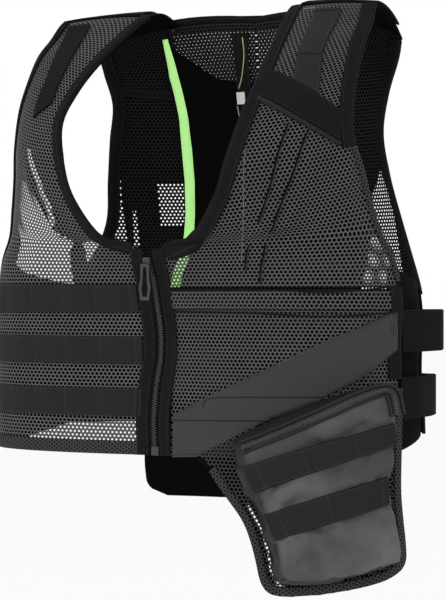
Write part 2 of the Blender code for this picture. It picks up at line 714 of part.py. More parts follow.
def side_straps():
    """Two elastic straps on each side, from the front's side edge to the outside of the back."""
    lift = LAYER_STEP + SIDE_STRAP_WALL
    for word, side in (("right", -1), ("left", 1)):
        for level, top, run in SIDE_STRAPS:
            start = FRONT.place(top, FRONT.width(top) + BUTT_GAP)
            close = BACK.place(top, BACK.width(top) * 0.90, lift)
            end = BACK.place(top, BACK.width(top) * 0.74, lift)
            plan = [start.xy]
            plan += [Vector((x * HALF_WIDTH, y * BACK_DEPTH)) for x, y in run]
            plan += [close.xy, end.xy]

            def place(across, down, raised, plan=plan, top=top, side=side):
                at = along(plan, across)
                before = along(plan, max(0.0, across - STEP))
                after = along(plan, min(1.0, across + STEP))
                run = (after - before).normalized()
                outward = Vector((run.y, -run.x))
                at = at + outward * raised
                height = -(top * BODY_LENGTH + down * SIDE_STRAP_WIDTH)
                return Vector((at.x * side, at.y, height))

            slab(f"side_strap_{level}_{word}", webbing_material(), 10, 1, -SIDE_STRAP_WALL / 2,
                 SIDE_STRAP_WALL / 2, place)


def side_flaps():
    """A plain flap on each side that closes the gap under the arm, inside the straps."""
    for word, side in (("right", -1), ("left", 1)):

        def place(across, down, lift, side=side):
            top = SIDE_FLAP_TOP[0] + (SIDE_FLAP_TOP[1] - SIDE_FLAP_TOP[0]) * across
            foot = SIDE_FLAP_FOOT[0] + (SIDE_FLAP_FOOT[1] - SIDE_FLAP_FOOT[0]) * across
            height = top + (foot - top) * down
            plan = [BACK.place(height, BACK.width(height) + BUTT_GAP + NET_WALL / 2).xy]
            plan += [Vector((x * HALF_WIDTH, y * BACK_DEPTH)) for x, y in SIDE_FLAP_RUN]
            ahead = along(plan, min(1.0, across + STEP))
            behind = along(plan, max(0.0, across - STEP))
            run = (behind - ahead).normalized()
            at = along(plan, across) + Vector((run.y, -run.x)) * lift
            return Vector((at.x * side, at.y, -height * BODY_LENGTH))

        slab(f"side_flap_{word}", cloth_material(), 6, 6, -NET_WALL / 2, NET_WALL / 2, place)


def main():
    clear_scene()
    front_nets()
    front_bindings()
    front_patches()
    webbing_rows()
    front_hem()
    zip_front()
    zip_fittings()
    pocket()
    back()
    shoulders()
    side_straps()
    side_flaps()


main()
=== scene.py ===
"""Looks of a motorcycle utility vest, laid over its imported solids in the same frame.

Every cloth piece lies on a front or a back form. A place on a form is a height share, a distance
across from the neck or centre edge, and a lift off the surface.
"""

import math
from functools import partial

import bmesh
import bpy
import numpy as np
from bpy.props import FloatProperty, FloatVectorProperty, PointerProperty
from mathutils import Matrix, Vector


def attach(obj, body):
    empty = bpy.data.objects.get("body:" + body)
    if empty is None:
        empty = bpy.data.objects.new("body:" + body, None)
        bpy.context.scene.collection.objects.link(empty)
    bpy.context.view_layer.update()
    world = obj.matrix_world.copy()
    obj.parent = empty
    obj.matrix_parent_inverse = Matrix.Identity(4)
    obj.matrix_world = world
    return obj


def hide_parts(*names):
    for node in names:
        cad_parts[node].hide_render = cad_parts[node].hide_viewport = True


bl_info = {
    "name": "Utility Vest",
    "version": (1, 0, 0),
    "blender": (4, 5, 0),
    "location": "View3D > Sidebar > Vest",
    "description": "Net, tapes, webbing, zip, pocket and straps of a utility vest",
    "category": "Add Mesh",
}

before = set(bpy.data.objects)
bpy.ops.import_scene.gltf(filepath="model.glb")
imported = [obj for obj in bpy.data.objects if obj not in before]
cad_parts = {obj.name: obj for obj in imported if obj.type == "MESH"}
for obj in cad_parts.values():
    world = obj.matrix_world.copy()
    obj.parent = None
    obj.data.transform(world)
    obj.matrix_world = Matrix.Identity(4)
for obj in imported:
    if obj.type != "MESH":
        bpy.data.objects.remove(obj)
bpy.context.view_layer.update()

# Rows down each form: height, then inner edge, crown and outer edge (x, y, z), as shares of the
# half width, the form's depth and the body length
FRONT_ROWS = (
    (-0.130, 0.397, 0.47, -0.005, 0.600, 0.48, -0.014, 0.790, 0.45, -0.036),
    (-0.080, 0.379, 0.35, 0.007, 0.587, 0.35, 0.009, 0.794, 0.28, -0.005),
    (0.000, 0.360, 0.08, 0.007, 0.577, 0.04, 0.014, 0.790, 0.00, 0.000),
    (0.070, 0.397, -0.25, -0.055, 0.600, -0.22, -0.037, 0.808, -0.14, -0.044),
    (0.140, 0.430, -0.55, -0.124, 0.647, -0.47, -0.096, 0.818, -0.28, -0.085),
    (0.190, 0.443, -0.73, -0.174, 0.670, -0.64, -0.150, 0.822, -0.37, -0.128),
    (0.250, 0.443, -0.93, -0.241, 0.684, -0.80, -0.225, 0.827, -0.48, -0.195),
    (0.320, 0.402, -1.02, -0.328, 0.690, -0.92, -0.316, 0.834, -0.53, -0.280),
    (0.390, 0.339, -1.02, -0.413, 0.690, -0.92, -0.395, 0.864, -0.47, -0.356),
    (0.450, 0.217, -0.98, -0.489, 0.690, -0.95, -0.470, 0.891, -0.43, -0.424),
    (0.510, 0.055, -0.95, -0.511, 0.760, -0.95, -0.505, 0.926, -0.38, -0.491),
    (0.535, 0.055, -0.94, -0.535, 0.810, -0.97, -0.532, 0.957, -0.36, -0.522),
    (0.596, 0.055, -0.89, -0.596, 0.880, -1.02, -0.596, 0.990, -0.33, -0.596),
    (0.711, 0.055, -0.81, -0.711, 0.880, -0.98, -0.711, 0.990, -0.33, -0.711),
    (0.850, 0.055, -0.82, -0.850, 0.880, -0.98, -0.850, 0.990, -0.33, -0.850),
    (1.000, 0.055, -0.84, -1.000, 0.880, -1.00, -1.000, 0.990, -0.33, -1.000),
    (1.140, 0.055, -0.85, -1.140, 0.900, -1.02, -1.140, 1.000, -0.30, -1.140),
    (1.280, 0.055, -0.85, -1.280, 0.930, -1.03, -1.280, 1.020, -0.25, -1.280),
)
BACK_ROWS = (
    (0.000, 0.0, 0.70, 0.014, 0.508, 0.52, 0.036, 0.778, 0.50, -0.050),
    (0.100, 0.0, 0.74, -0.099, 0.577, 0.87, -0.099, 0.748, 0.52, -0.103),
    (0.175, 0.0, 0.80, -0.174, 0.577, 0.94, -0.174, 0.700, 0.52, -0.174),
    (0.250, 0.0, 0.85, -0.252, 0.577, 0.96, -0.252, 0.690, 0.45, -0.252),
    (0.350, 0.0, 0.90, -0.349, 0.600, 0.97, -0.349, 0.712, 0.48, -0.349),
    (0.450, 0.0, 0.94, -0.450, 0.647, 1.00, -0.450, 0.752, 0.56, -0.450),
    (0.520, 0.0, 0.96, -0.520, 0.716, 1.03, -0.520, 0.805, 0.52, -0.520),
    (0.600, 0.0, 0.97, -0.600, 0.785, 1.04, -0.600, 0.880, 0.40, -0.600),
    (0.780, 0.0, 1.00, -0.780, 0.800, 1.05, -0.780, 0.885, 0.40, -0.780),
    (0.965, 0.0, 1.00, -0.965, 0.800, 1.04, -0.965, 0.900, 0.40, -0.965),
    (1.100, 0.0, 1.00, -1.100, 0.800, 1.04, -1.100, 0.900, 0.40, -1.100),
)
# Soft folds on the front form: side, first end and last end (height, metres across), half width
# and rise in metres
FOLDS = (
    (-1, 0.300, 0.062, 0.600, 0.046, 0.010, 0.0030),
    (-1, 0.420, 0.100, 0.590, 0.135, 0.014, 0.0022),
    (-1, 0.370, 0.020, 0.560, 0.080, 0.012, -0.0020),
    (1, 0.271, 0.048, 0.340, 0.046, 0.006, 0.0022),
    (1, 0.336, 0.046, 0.560, 0.091, 0.008, 0.0028),
    (1, 0.301, 0.072, 0.590, 0.103, 0.007, 0.0024),
    (1, 0.300, 0.100, 0.520, 0.125, 0.010, -0.0016),
)
# Outlines on the front: height and share across at the inner end, then at the outer end
STRIP_RIGHT = (
    (0.030, 0.58, 0.030, 0.87),
    (0.090, 0.46, 0.110, 0.72),
    (0.152, 0.33, 0.183, 0.54),
    (0.222, 0.22, 0.255, 0.45),
)
STRIP_LEFT = (
    (0.030, 0.34, 0.030, 0.64),
    (0.080, 0.34, 0.085, 0.63),
    (0.143, 0.345, 0.157, 0.60),
    (0.203, 0.375, 0.241, 0.66),
)
YOKE_LEFT = (
    (0.167, 0.105, 0.276, 0.88),
    (0.196, 0.105, 0.302, 0.88),
    (0.222, 0.105, 0.327, 0.88),
)
# Seams across the left chest, each side of the channel: height and metres across
CHANNEL_TOP = ((0.597, 0.009), (0.598, 0.110), (0.606, 0.165), (0.592, 0.226))
CHANNEL_FOOT = ((0.642, 0.009), (0.645, 0.100), (0.652, 0.150), (0.647, 0.205), (0.641, 0.226))
PLEATS = (
    ((0.281, 0.0480), (0.330, 0.0478), (0.380, 0.0495), (0.420, 0.0557), (0.441, 0.0613)),
    ((0.300, 0.0689), (0.378, 0.0670), (0.401, 0.0683), (0.438, 0.0749), (0.467, 0.0862)),
    ((0.512, 0.0913), (0.526, 0.0885), (0.560, 0.0860)),
    ((0.514, 0.1056), (0.547, 0.1021), (0.585, 0.1000)),
)
# Ribs of the diagonal panel from the zip outwards: height and metres across at its top, then at
# its foot
REINFORCEMENT = (
    (0.858, 0.0075, 0.947, 0.0075),
    (0.826, 0.0370, 0.944, 0.0340),
    (0.796, 0.0680, 0.908, 0.0668),
    (0.778, 0.0850, 0.888, 0.0839),
    (0.755, 0.1076, 0.863, 0.1076),
    (0.712, 0.1482, 0.830, 0.1482),
    (0.698, 0.1610, 0.811, 0.1600),
    (0.676, 0.1851, 0.782, 0.1851),
    (0.657, 0.2042, 0.751, 0.2042),
    (0.637, 0.2261, 0.722, 0.2233),
)
PANEL_SEAMS = (
    ((0.870, 0.008), (0.868, 0.060), (0.865, 0.1076)),
    ((0.840, 0.0405), (0.829, 0.0412), (0.822, 0.0450), (0.818, 0.0800),
     (0.816, 0.1550)),
)
# Rim of the skirt from the zip side round its foot to the outer side: height, metres across
SKIRT_RIM = (
    (0.925, 0.0150), (0.945, 0.0300), (0.957, 0.0380), (0.971, 0.0471), (0.999, 0.0564),
    (1.032, 0.0686), (1.067, 0.0819), (1.103, 0.0894), (1.151, 0.0957), (1.192, 0.0993),
    (1.214, 0.1060), (1.221, 0.1160), (1.217, 0.1463), (1.201, 0.1912), (1.184, 0.2218),
    (1.158, 0.2370), (1.113, 0.2356), (1.072, 0.2325), (1.013, 0.2288), (0.946, 0.2290),
    (0.860, 0.2290), (0.800, 0.2290),
)
SKIRT_SLIT = (
    (1.044, 0.0862), (1.086, 0.0986), (1.130, 0.1046), (1.175, 0.1082), (1.204, 0.1150),
    (1.210, 0.1280), (1.203, 0.1280), (1.197, 0.1170), (1.173, 0.1106), (1.130, 0.1070),
    (1.086, 0.1010), (1.044, 0.0886),
)
# The pocket's face and its base, each as a top, foot, zip-side and outer edge
FACE_EDGES = (
    ((0.920, 0.0985), (0.909, 0.1037), (0.891, 0.1173), (0.856, 0.1482), (0.824, 0.1766),
     (0.802, 0.1952), (0.808, 0.2020)),
    ((1.178, 0.1338), (1.180, 0.1493), (1.165, 0.1777), (1.153, 0.1981), (1.143, 0.2110)),
    ((0.920, 0.0985), (0.935, 0.0965), (0.973, 0.1011), (1.009, 0.1114), (1.049, 0.1180),
     (1.123, 0.1289), (1.167, 0.1300), (1.178, 0.1338)),
    ((0.808, 0.2020), (0.828, 0.2053), (0.913, 0.2071), (1.006, 0.2029), (1.064, 0.2079),
     (1.128, 0.2138), (1.143, 0.2110)),
)
BASE_EDGES = (
    ((0.908, 0.0700), (0.880, 0.0920), (0.832, 0.1390), (0.796, 0.1840), (0.792, 0.2080)),
    ((1.185, 0.1120), (1.196, 0.1480), (1.178, 0.1850), (1.158, 0.2180)),
    ((0.908, 0.0700), (0.956, 0.0745), (1.013, 0.0835), (1.044, 0.0940), (1.092, 0.1015),
     (1.132, 0.1080), (1.185, 0.1120)),
    ((0.792, 0.2080), (0.860, 0.2130), (0.950, 0.2120), (1.010, 0.2100), (1.070, 0.2140),
     (1.158, 0.2180)),
)
POCKET_ZIP_RUN = (
    (0.912, 0.0900), (0.900, 0.1030), (0.870, 0.1311), (0.832, 0.1620), (0.812, 0.1765),
    (0.797, 0.1900), (0.790, 0.2000), (0.800, 0.2085), (0.850, 0.2120),
)
# Webbing on the pocket: height and metres across at its start and end, top edge then foot
POCKET_WEBBING = (
    ((0.957, 0.0945), (0.866, 0.2046), (1.010, 0.1050), (0.911, 0.2065)),
    ((1.051, 0.1125), (0.973, 0.2010), (1.103, 0.1225), (1.031, 0.2020)),
)
# Piping beside the pouch: height, then its inner and outer edge in metres across
NEON = (
    (0.030, 0.0948, 0.1006),
    (0.109, 0.0914, 0.1016),
    (0.208, 0.0841, 0.0941),
    (0.278, 0.0812, 0.0923),
    (0.349, 0.0800, 0.0908),
    (0.420, 0.0815, 0.0919),
    (0.470, 0.0839, 0.0949),
    (0.518, 0.0896, 0.1003),
    (0.553, 0.0960, 0.1070),
    (0.592, 0.1015, 0.1129),
)
# Thin bright lines of painted light down the tape and pouch at the middle of the back
CENTRE_LINES = (
    ((0.039, 0.0126), (0.072, 0.0108), (0.118, 0.0161), (0.142, 0.0215)),
    ((0.181, 0.0253), (0.217, 0.0229)),
    ((0.275, 0.0195), (0.340, 0.0240), (0.395, 0.0244), (0.531, 0.0301)),
)
# The tail's half width: share of the way down, then share of the back's half width
TAIL = (
    (0.000, 0.640),
    (0.300, 0.640),
    (0.600, 0.640),
    (0.850, 0.630),
    (0.950, 0.600),
    (1.000, 0.530),
)
# Top edges of the webbing rows on the right front
WEBBING_TOPS = (0.587, 0.696, 0.806)
# Elastic straps: name, top edge, and run in plan as shares of the half width and back depth
SIDE_STRAPS = (
    ("upper", 0.640, ((1.000, 0.02), (0.985, 0.42), (0.935, 0.66))),
    ("lower", 0.778, ((0.985, 0.02), (0.955, 0.36), (0.915, 0.60))),
)
# Flaps under the arms: the run in plan, then the heights of the top and the foot at each end
SIDE_FLAP_RUN = ((0.940, 0.20), (0.950, -0.06), (0.935, -0.36))
SIDE_FLAP_TOP = (0.590, 0.552)
SIDE_FLAP_FOOT = (0.905, 0.940)
SIDES = (("right", -1), ("left", 1))
# Heights where pieces begin and end
BINDING_TOP = 0.004
FRONT_HEM = 0.945
BACK_TOP = 0.012
BACK_HEM = 0.905
TAIL_END = 1.075
CHAIN_TOP = 0.530
PLACKET_TOP = 0.513
NECK_END = 0.497
ARM_END = 0.583
ARM_FOLD = 0.340
CHEST_SPLIT = 0.600
STRAP_SEAM = 0.48
STRAP_ARCH = 0.012
# How far the zip wanders sideways: height, metres
ZIP_DRIFT = (
    (0.530, 0.000), (0.580, 0.0030), (0.680, 0.0045), (0.740, 0.0030), (0.800, -0.0015),
    (0.870, -0.0035), (0.945, -0.0015),
)
# A band of tape sewn across the back, inside
BACK_BAND = ((0.143, 0.164), (0.153, 0.102))
# Places where one layer of net is clear of the layer behind it, as outlines of height and metres.
# On the front they are openings in the black sheet of painted shade behind the net.
CLEAR_FRONT = (
    ((0.914, 0.1450), (0.897, 0.1037), (0.873, 0.0770), (0.869, 0.0408), (0.876, 0.0010),
     (0.932, 0.0010), (0.930, 0.0563), (0.922, 0.1099)),
    ((0.374, 0.0800), (0.380, 0.1200), (0.391, 0.1383), (0.470, 0.1640), (0.546, 0.1600),
     (0.561, 0.1425), (0.583, 0.0900), (0.586, 0.0735), (0.520, 0.0800), (0.456, 0.0593),
     (0.407, 0.0603)),
    ((0.308, 0.0660), (0.304, 0.0586), (0.352, 0.0440), (0.405, 0.0432), (0.445, 0.0530),
     (0.438, 0.0580), (0.406, 0.0500), (0.362, 0.0530)),
    ((0.300, -0.0100), (0.300, 0.0003), (0.352, 0.0010), (0.405, 0.0097), (0.455, 0.0130),
     (0.480, 0.0300), (0.497, 0.0550), (0.505, 0.0629), (0.560, 0.0545), (0.562, 0.0453),
     (0.540, 0.0380), (0.509, 0.0320), (0.509, -0.0100)),
)
COLLAR_MESH = (
    (0.014, -0.01), (0.014, 0.0900), (0.070, 0.0914), (0.087, 0.0851), (0.112, 0.0702),
    (0.131, 0.0466), (0.138, 0.0250), (0.140, -0.01),
)
CLEAR_BACK = {
    -1: (
        ((0.354, 0.089), (0.354, 0.121), (0.451, 0.121), (0.451, 0.089)),
        ((0.208, 0.1601), (0.208, 0.1560), (0.392, 0.1580), (0.500, 0.1556), (0.500, 0.1689)),
        ((0.414, 0.1479), (0.414, 0.1448), (0.500, 0.1437), (0.500, 0.1494)),
        COLLAR_MESH,
    ),
    1: (
        ((0.334, 0.1406), (0.391, 0.1210), (0.473, 0.1150), (0.597, 0.1010), (0.600, 0.1600),
         (0.516, 0.1541), (0.404, 0.1532)),
        COLLAR_MESH,
    ),
}


def metres(name, description, value):
    return FloatProperty(name=name, description=description, default=value, min=0.0001,
                         subtype="DISTANCE", unit="LENGTH")


def colour(name, description, value):
    return FloatVectorProperty(name=name, description=description, default=value, min=0, max=1,
                               subtype="COLOR", size=3)


class VestSizes(bpy.types.PropertyGroup):
    """Sizes of the vest and its cloth."""

    body_length: metres("Body length", "Shoulder line to hem, before the hem's share", 0.436)
    half_width: metres("Half width", "Middle of the front to the side", 0.2165)
    chest_depth: metres("Chest depth", "Shoulder line to the front", 0.128)
    back_depth: metres("Back depth", "Shoulder line to the back", 0.115)
    hole_across: metres("Hole pitch across", "Net holes, side to side", 0.0041)
    hole_down: metres("Hole pitch down", "Net holes, row to row", 0.00335)
    strand: metres("Strand half width", "Half of the cloth between two holes", 0.00090)
    strand_rise: metres("Strand rise", "Half of the net's thickness", 0.0006)
    tape_low: metres("Tape underside", "Lift of a tape's underside off the net", 0.0009)
    tape_high: metres("Tape face", "Lift of a tape's face off the net", 0.0030)
    webbing: metres("Webbing width", "Width of the webbing rows", 0.0255)
    binding_right: metres("Right binding", "Width of the right neck and arm bindings", 0.008)
    binding_left: metres("Left binding", "Width of the left neck and arm bindings", 0.013)
    side_strap: metres("Side strap width", "Width of the elastic side straps", 0.038)
    pocket_depth: metres("Pocket depth", "How far the hip pocket stands out", 0.025)


class VestColours(bpy.types.PropertyGroup):
    """Colours of the vest."""

    net: colour("Net", "Air-mesh cloth", (0.175, 0.175, 0.178))
    cloth: colour("Cloth", "Tapes and bindings", (0.0080, 0.0080, 0.0083))
    webbing: colour("Webbing", "Webbing and elastic", (0.0140, 0.0140, 0.0143))
    rubber: colour("Rubberised cloth", "Diagonal panel", (0.021, 0.0212, 0.0228))
    pocket: colour("Pocket cloth", "Face of the hip pocket", (0.052, 0.053, 0.056))
    neon: colour("Neon", "Piping inside the back", (0.50, 0.95, 0.31))
    label: colour("Label", "Blank label", (0.75, 0.75, 0.74))
    metal: colour("Zip metal", "Slider and pull", (0.045, 0.045, 0.048))


def unit(vectors):
    return vectors / np.linalg.norm(vectors, axis=-1, keepdims=True)


def lengths_along(points):
    """Metres from the first point to each point."""
    return np.concatenate([[0], np.cumsum(np.linalg.norm(np.diff(points, axis=0), axis=1))])


class Form:
    """One half of the body as a smooth surface of height share and distance across."""

    def __init__(self, rows, sizes, depth, outward):
        table = np.array(rows)
        scale = np.array((sizes.half_width, depth, sizes.body_length) * 3)
        knots, corners = table[:, 0], table[:, 1:] * scale
        slopes = np.gradient(corners, knots, axis=0)
        self.heights = np.linspace(knots[0], knots[-1], 901)
        i = np.clip(np.searchsorted(knots, self.heights, side="right") - 1, 0, len(knots) - 2)
        span = (knots[i + 1] - knots[i])[:, None]
        t = (self.heights - knots[i])[:, None] / span
        mixed = ((2 * t**3 - 3 * t**2 + 1) * corners[i] + (t**3 - 2 * t**2 + t) * span * slopes[i]
                 + (3 * t**2 - 2 * t**3) * corners[i + 1] + (t**3 - t**2) * span * slopes[i + 1])
        inner, crown, outer = (mixed[:, None, k:k + 3] for k in (0, 3, 6))
        u = np.linspace(0, 1, 65)[None, :, None]
        points = (1 - u) ** 2 * inner + 2 * u * (1 - u) * crown + u**2 * outer
        steps = np.linalg.norm(np.diff(points, axis=1), axis=2)
        reach = np.concatenate([np.zeros((len(steps), 1)), np.cumsum(steps, axis=1)], axis=1)
        self.widths = reach[:, -1]
        self.shares = np.linspace(0, 1, 121)
        self.grid = np.stack([
            np.stack([np.interp(self.shares * w, line, row[:, k]) for k in range(3)], axis=1)
            for w, line, row in zip(self.widths, reach, points)])
        down, across = np.gradient(self.grid, axis=0), np.gradient(self.grid, axis=1)
        normals = np.cross(down, across) * outward
        self.normals = unit(normals)
        # A guide line down the form, which net and cloth lengths are measured from
        self.lengths = lengths_along(self.grid[:, len(self.shares) // 2])
        self.lengths -= np.interp(0, self.heights, self.lengths)

    def width(self, height):
        return np.interp(height, self.heights, self.widths)

    def sample(self, table, height, share):
        r = np.interp(height, self.heights, np.arange(len(self.heights)))
        c = np.clip(share, 0, 1) * (len(self.shares) - 1)
        r0 = np.minimum(r.astype(int), len(self.heights) - 2)
        c0 = np.minimum(c.astype(int), len(self.shares) - 2)
        fr, fc = (r - r0)[:, None], (c - c0)[:, None]
        return ((table[r0, c0] * (1 - fc) + table[r0, c0 + 1] * fc) * (1 - fr)
                + (table[r0 + 1, c0] * (1 - fc) + table[r0 + 1, c0 + 1] * fc) * fr)

    def place(self, height, distance, lift=0.0, side=1):
        """Points at these heights and distances, which may run straight on past either end."""
        height, distance, lift = (
            x.ravel() for x in np.broadcast_arrays(*map(np.asarray, (height, distance, lift))))
        wide = self.width(height)
        share = distance / wide
        at = self.sample(self.grid, height, share)
        beyond = np.where(share < 0, distance, np.where(share > 1, distance - wide, 0.0))
        last = np.where(share < 0.5, 0.0, 1.0)
        step = 0.01
        near = self.sample(self.grid, height, np.abs(last - step))
        end = self.sample(self.grid, height, last)
        run = unit((end - near) * np.where(last > 0.5, 1, -1)[:, None])
        normal = unit(self.sample(self.normals, height, share))
        at = at + run * beyond[:, None] + normal * lift[:, None]
        return at * np.array((side, 1, 1))

    def rim(self, height, towards):
        return self.place(height, 0 * height if towards > 0 else self.width(height))

    def inset(self, heights, amount, towards):
        """Places this far inside an edge, square to it. towards is 1 at the neck and -1 at the
        side."""
        dh, dd, steps = 0.004, 0.002, 6
        height = np.array(heights, float)
        distance = np.zeros_like(height) if towards > 0 else self.width(height)
        edge = self.rim(height + dh, towards) - self.rim(height - dh, towards)
        for _ in range(steps):
            inside = distance + 0.003 * towards
            down = (self.place(height + dh, inside) - self.place(height - dh, inside)) / (2 * dh)
            across = (self.place(height, inside + dd) - self.place(height, inside - dd)) / (2 * dd)
            square = unit(np.cross(np.cross(down, across), edge) * towards)
            for k in range(len(height)):
                plane = np.stack([down[k], across[k]], 1)
                shift = np.linalg.lstsq(plane, square[k], rcond=None)[0]
                height[k] += shift[0] * amount / steps
                distance[k] += shift[1] * amount / steps
        return np.stack([height, distance], axis=1)


class FrontForm(Form):
    """The front half, with its soft folds."""

    def place(self, height, distance, lift=0.0, side=1):
        height, distance, lift = np.broadcast_arrays(*map(np.asarray, (height, distance, lift)))
        return super().place(height, distance, lift + folds(height, distance, side), side)


def folds(height, distance, side):
    """Rise of the soft folds, which fade towards their ends."""
    rise = np.zeros(np.shape(height))
    scale = 0.44
    for fold_side, h0, d0, h1, d1, wide, high in FOLDS:
        if fold_side != side:
            continue
        run = np.array(((h1 - h0) * scale, d1 - d0))
        length = np.hypot(*run)
        along, off = (height - h0) * scale, distance - d0
        t = (along * run[0] + off * run[1]) / length**2
        away = (off * run[0] - along * run[1]) / length
        fade = np.clip(t / 0.25, 0, 1) * np.clip((1 - t) / 0.25, 0, 1)
        rise = rise + high * np.exp(-(away / wide) ** 2) * fade * fade * (3 - 2 * fade)
    return rise


FORMS = {}


def form(name):
    """The front or back form for the sizes that are set."""
    if not FORMS:
        sizes = bpy.context.scene.vest_sizes
        FORMS["front"] = FrontForm(FRONT_ROWS, sizes, sizes.chest_depth, 1)
        FORMS["back"] = Form(BACK_ROWS, sizes, sizes.back_depth, -1)
    return FORMS[name]


# Materials


class Value:
    """A shader socket whose Python operators add Math nodes."""

    def __init__(self, finish, socket):
        self.finish, self.socket = finish, socket

    def math(self, operation, *others):
        return self.finish.node("ShaderNodeMath", {"operation": operation}, self, *others)

    def __add__(self, other):
        return self.math("ADD", other)

    def __sub__(self, other):
        return self.math("SUBTRACT", other)

    def __mul__(self, other):
        return self.math("MULTIPLY", other)

    def __truediv__(self, other):
        return self.math("DIVIDE", other)

    def __rsub__(self, other):
        return self.finish.node("ShaderNodeMath", {"operation": "SUBTRACT"}, other, self)

    def __lt__(self, other):
        return self.math("LESS_THAN", other)

    def __gt__(self, other):
        return self.math("GREATER_THAN", other)

    def __abs__(self):
        return self.math("ABSOLUTE")

    __radd__ = __add__
    __rmul__ = __mul__

    def wave(self, pitch):
        """A smooth wave from 0 to 1 with this pitch."""
        return (self * (2 * math.pi / pitch)).math("SINE") * 0.5 + 0.5

    def repeat(self, pitch):
        """How far through each repeat, from 0 to 1."""
        return (self / pitch).math("FRACT")


class Finish:
    """A Principled material built from Python expressions."""

    def __init__(self, name, base, roughness, specular=0.25, metallic=0.0, sheen=0.0):
        self.material = bpy.data.materials.new(name)
        self.material.use_nodes = True
        self.tree = self.material.node_tree
        self.shader = self.tree.nodes["Principled BSDF"]
        self.base = tuple(base)
        self.shader.inputs["Base Color"].default_value = (*self.base, 1)
        self.shader.inputs["Roughness"].default_value = roughness
        self.shader.inputs["Specular IOR Level"].default_value = specular
        self.shader.inputs["Metallic"].default_value = metallic
        self.shader.inputs["Sheen Weight"].default_value = sheen
        self.shader.inputs["Sheen Roughness"].default_value = 0.5

    def node(self, kind, settings=None, *values, output=0, **named):
        made = self.tree.nodes.new(kind)
        for key, value in (settings or {}).items():
            if key == "stops":
                ramp = made.color_ramp
                for k, (at, tone) in enumerate(value):
                    stop = ramp.elements[k] if k < 2 else ramp.elements.new(at)
                    stop.position, stop.color = at, (tone, tone, tone, 1)
            else:
                setattr(made, key, value)
        for key, value in list(enumerate(values)) + list(named.items()):
            self.feed(made.inputs[key], value)
        return Value(self, made.outputs[output])

    def feed(self, socket, value):
        if isinstance(value, Value):
            self.tree.links.new(value.socket, socket)
        else:
            socket.default_value = value

    def cloth(self):
        """Metres across and along the piece, from its own map."""
        uv = self.node("ShaderNodeUVMap", {"uv_map": "Cloth"})
        return (self.node("ShaderNodeSeparateXYZ", None, uv, output=0),
                self.node("ShaderNodeSeparateXYZ", None, uv, output=1))

    def edge(self):
        """Metres from the nearest long edge of the piece; on the nets, each point's share up its
        strand to the ridge, which masks their painted highlight.
        """
        return self.node("ShaderNodeAttribute", {"attribute_name": "edge"}, output=2)

    def noise(self, scale, detail=3.0):
        at = self.node("ShaderNodeTexCoord", output=3)
        return self.node("ShaderNodeTexNoise", None, Vector=at, Scale=scale, Detail=detail)

    def tint(self, factor, colour_value):
        """The base colour, mixed to another colour by factor."""
        first = (*self.base, 1) if isinstance(self.base, tuple) else self.base
        self.base = self.node("ShaderNodeMix", {"data_type": "RGBA"}, output=2)
        mix = self.base.socket.node
        self.feed(mix.inputs[0], factor)
        self.feed(mix.inputs[6], first)
        self.feed(mix.inputs[7], (*colour_value, 1))

    def close(self, height=None, distance=0.0004, roughness=None):
        if isinstance(self.base, Value):
            self.feed(self.shader.inputs["Base Color"], self.base)
        if roughness is not None:
            self.feed(self.shader.inputs["Roughness"], roughness)
        if height is not None:
            bump = self.node("ShaderNodeBump", None, Distance=distance, Height=height,
                             Strength=0.8)
            self.feed(self.shader.inputs["Normal"], bump)
        return self.material


def scaled(tone, factor):
    return tuple(min(1.0, channel * factor) for channel in tone)


def stitches(finish, inset=0.002, pitch=0.0032):
    """A line of stitches beside each long edge."""
    _, v = finish.cloth()
    line = abs(finish.edge() - inset) < 0.00035
    return line * (v.repeat(pitch) < 0.72)


def hexagons(finish, across, down):
    """From 0.25 at the yarn up to 1 at the middle of each six-sided hole."""
    u, v = finish.cloth()
    x, y = u / across, v / (2 * down)
    waves = (x + y + 0.25).wave(1.0) + (y - x + 0.25).wave(1.0) + (y * 2 + 0.25).wave(1.0)
    return waves / 3


def yarn(name, tones, crest, hollow):
    """Net yarn with a painted highlight along its crest and painted shade beside its holes."""
    finish = Finish(name, scaled(tones.net, hollow), 0.75, 0.06)
    painted_highlight_mask = finish.edge()
    # Painted highlight: brighter up each strand towards its ridge, over a base colour of painted
    # shade beside the holes.
    finish.tint(painted_highlight_mask * painted_highlight_mask, scaled(tones.net, crest))
    finish.tint(finish.noise(26.0) * 0.35, scaled(tones.net, hollow * 2))
    return finish.close(finish.noise(2200.0, 1.0), 0.0002)


def fold_look(tones):
    """Net folded over on itself, too dense to see through."""
    finish = Finish("net_fold", scaled(tones.cloth, 0.5), 0.85, 0.05)
    cells = hexagons(finish, 0.0036, 0.0029)
    finish.tint((cells < 0.62) * 0.75, scaled(tones.net, 0.30))
    return finish.close(1 - cells, 0.0007)


def cloth_look(tones):
    finish = Finish("cloth", tones.cloth, 0.85, 0.03)
    u, v = finish.cloth()
    weave = u.wave(0.0009) * v.wave(0.0009)
    finish.tint(finish.noise(40.0) * 0.6, scaled(tones.cloth, 1.5))
    sewn = stitches(finish)
    finish.tint(sewn, scaled(tones.cloth, 2.6))
    return finish.close(weave * 0.4 + sewn, 0.0004)


def pad_look(tones):
    """Black spacer mesh with shallow six-sided cells, also used for the sheets of painted shade
    behind the front nets.
    """
    finish = Finish("spacer_mesh_and_shade_sheet", scaled(tones.cloth, 0.5), 0.9, 0.03)
    cells = hexagons(finish, 0.0034, 0.0028)
    finish.tint((cells > 0.62) * 0.6, scaled(tones.cloth, 0.15))
    return finish.close(cells, 0.0005)


def lining_look(tones):
    """Plain black backing cloth."""
    finish = Finish("lining", scaled(tones.cloth, 0.40), 0.9, 0.02)
    u, v = finish.cloth()
    finish.tint(finish.noise(20.0) * 0.5, scaled(tones.cloth, 0.7))
    return finish.close(u.wave(0.0011) * v.wave(0.0011), 0.0002)


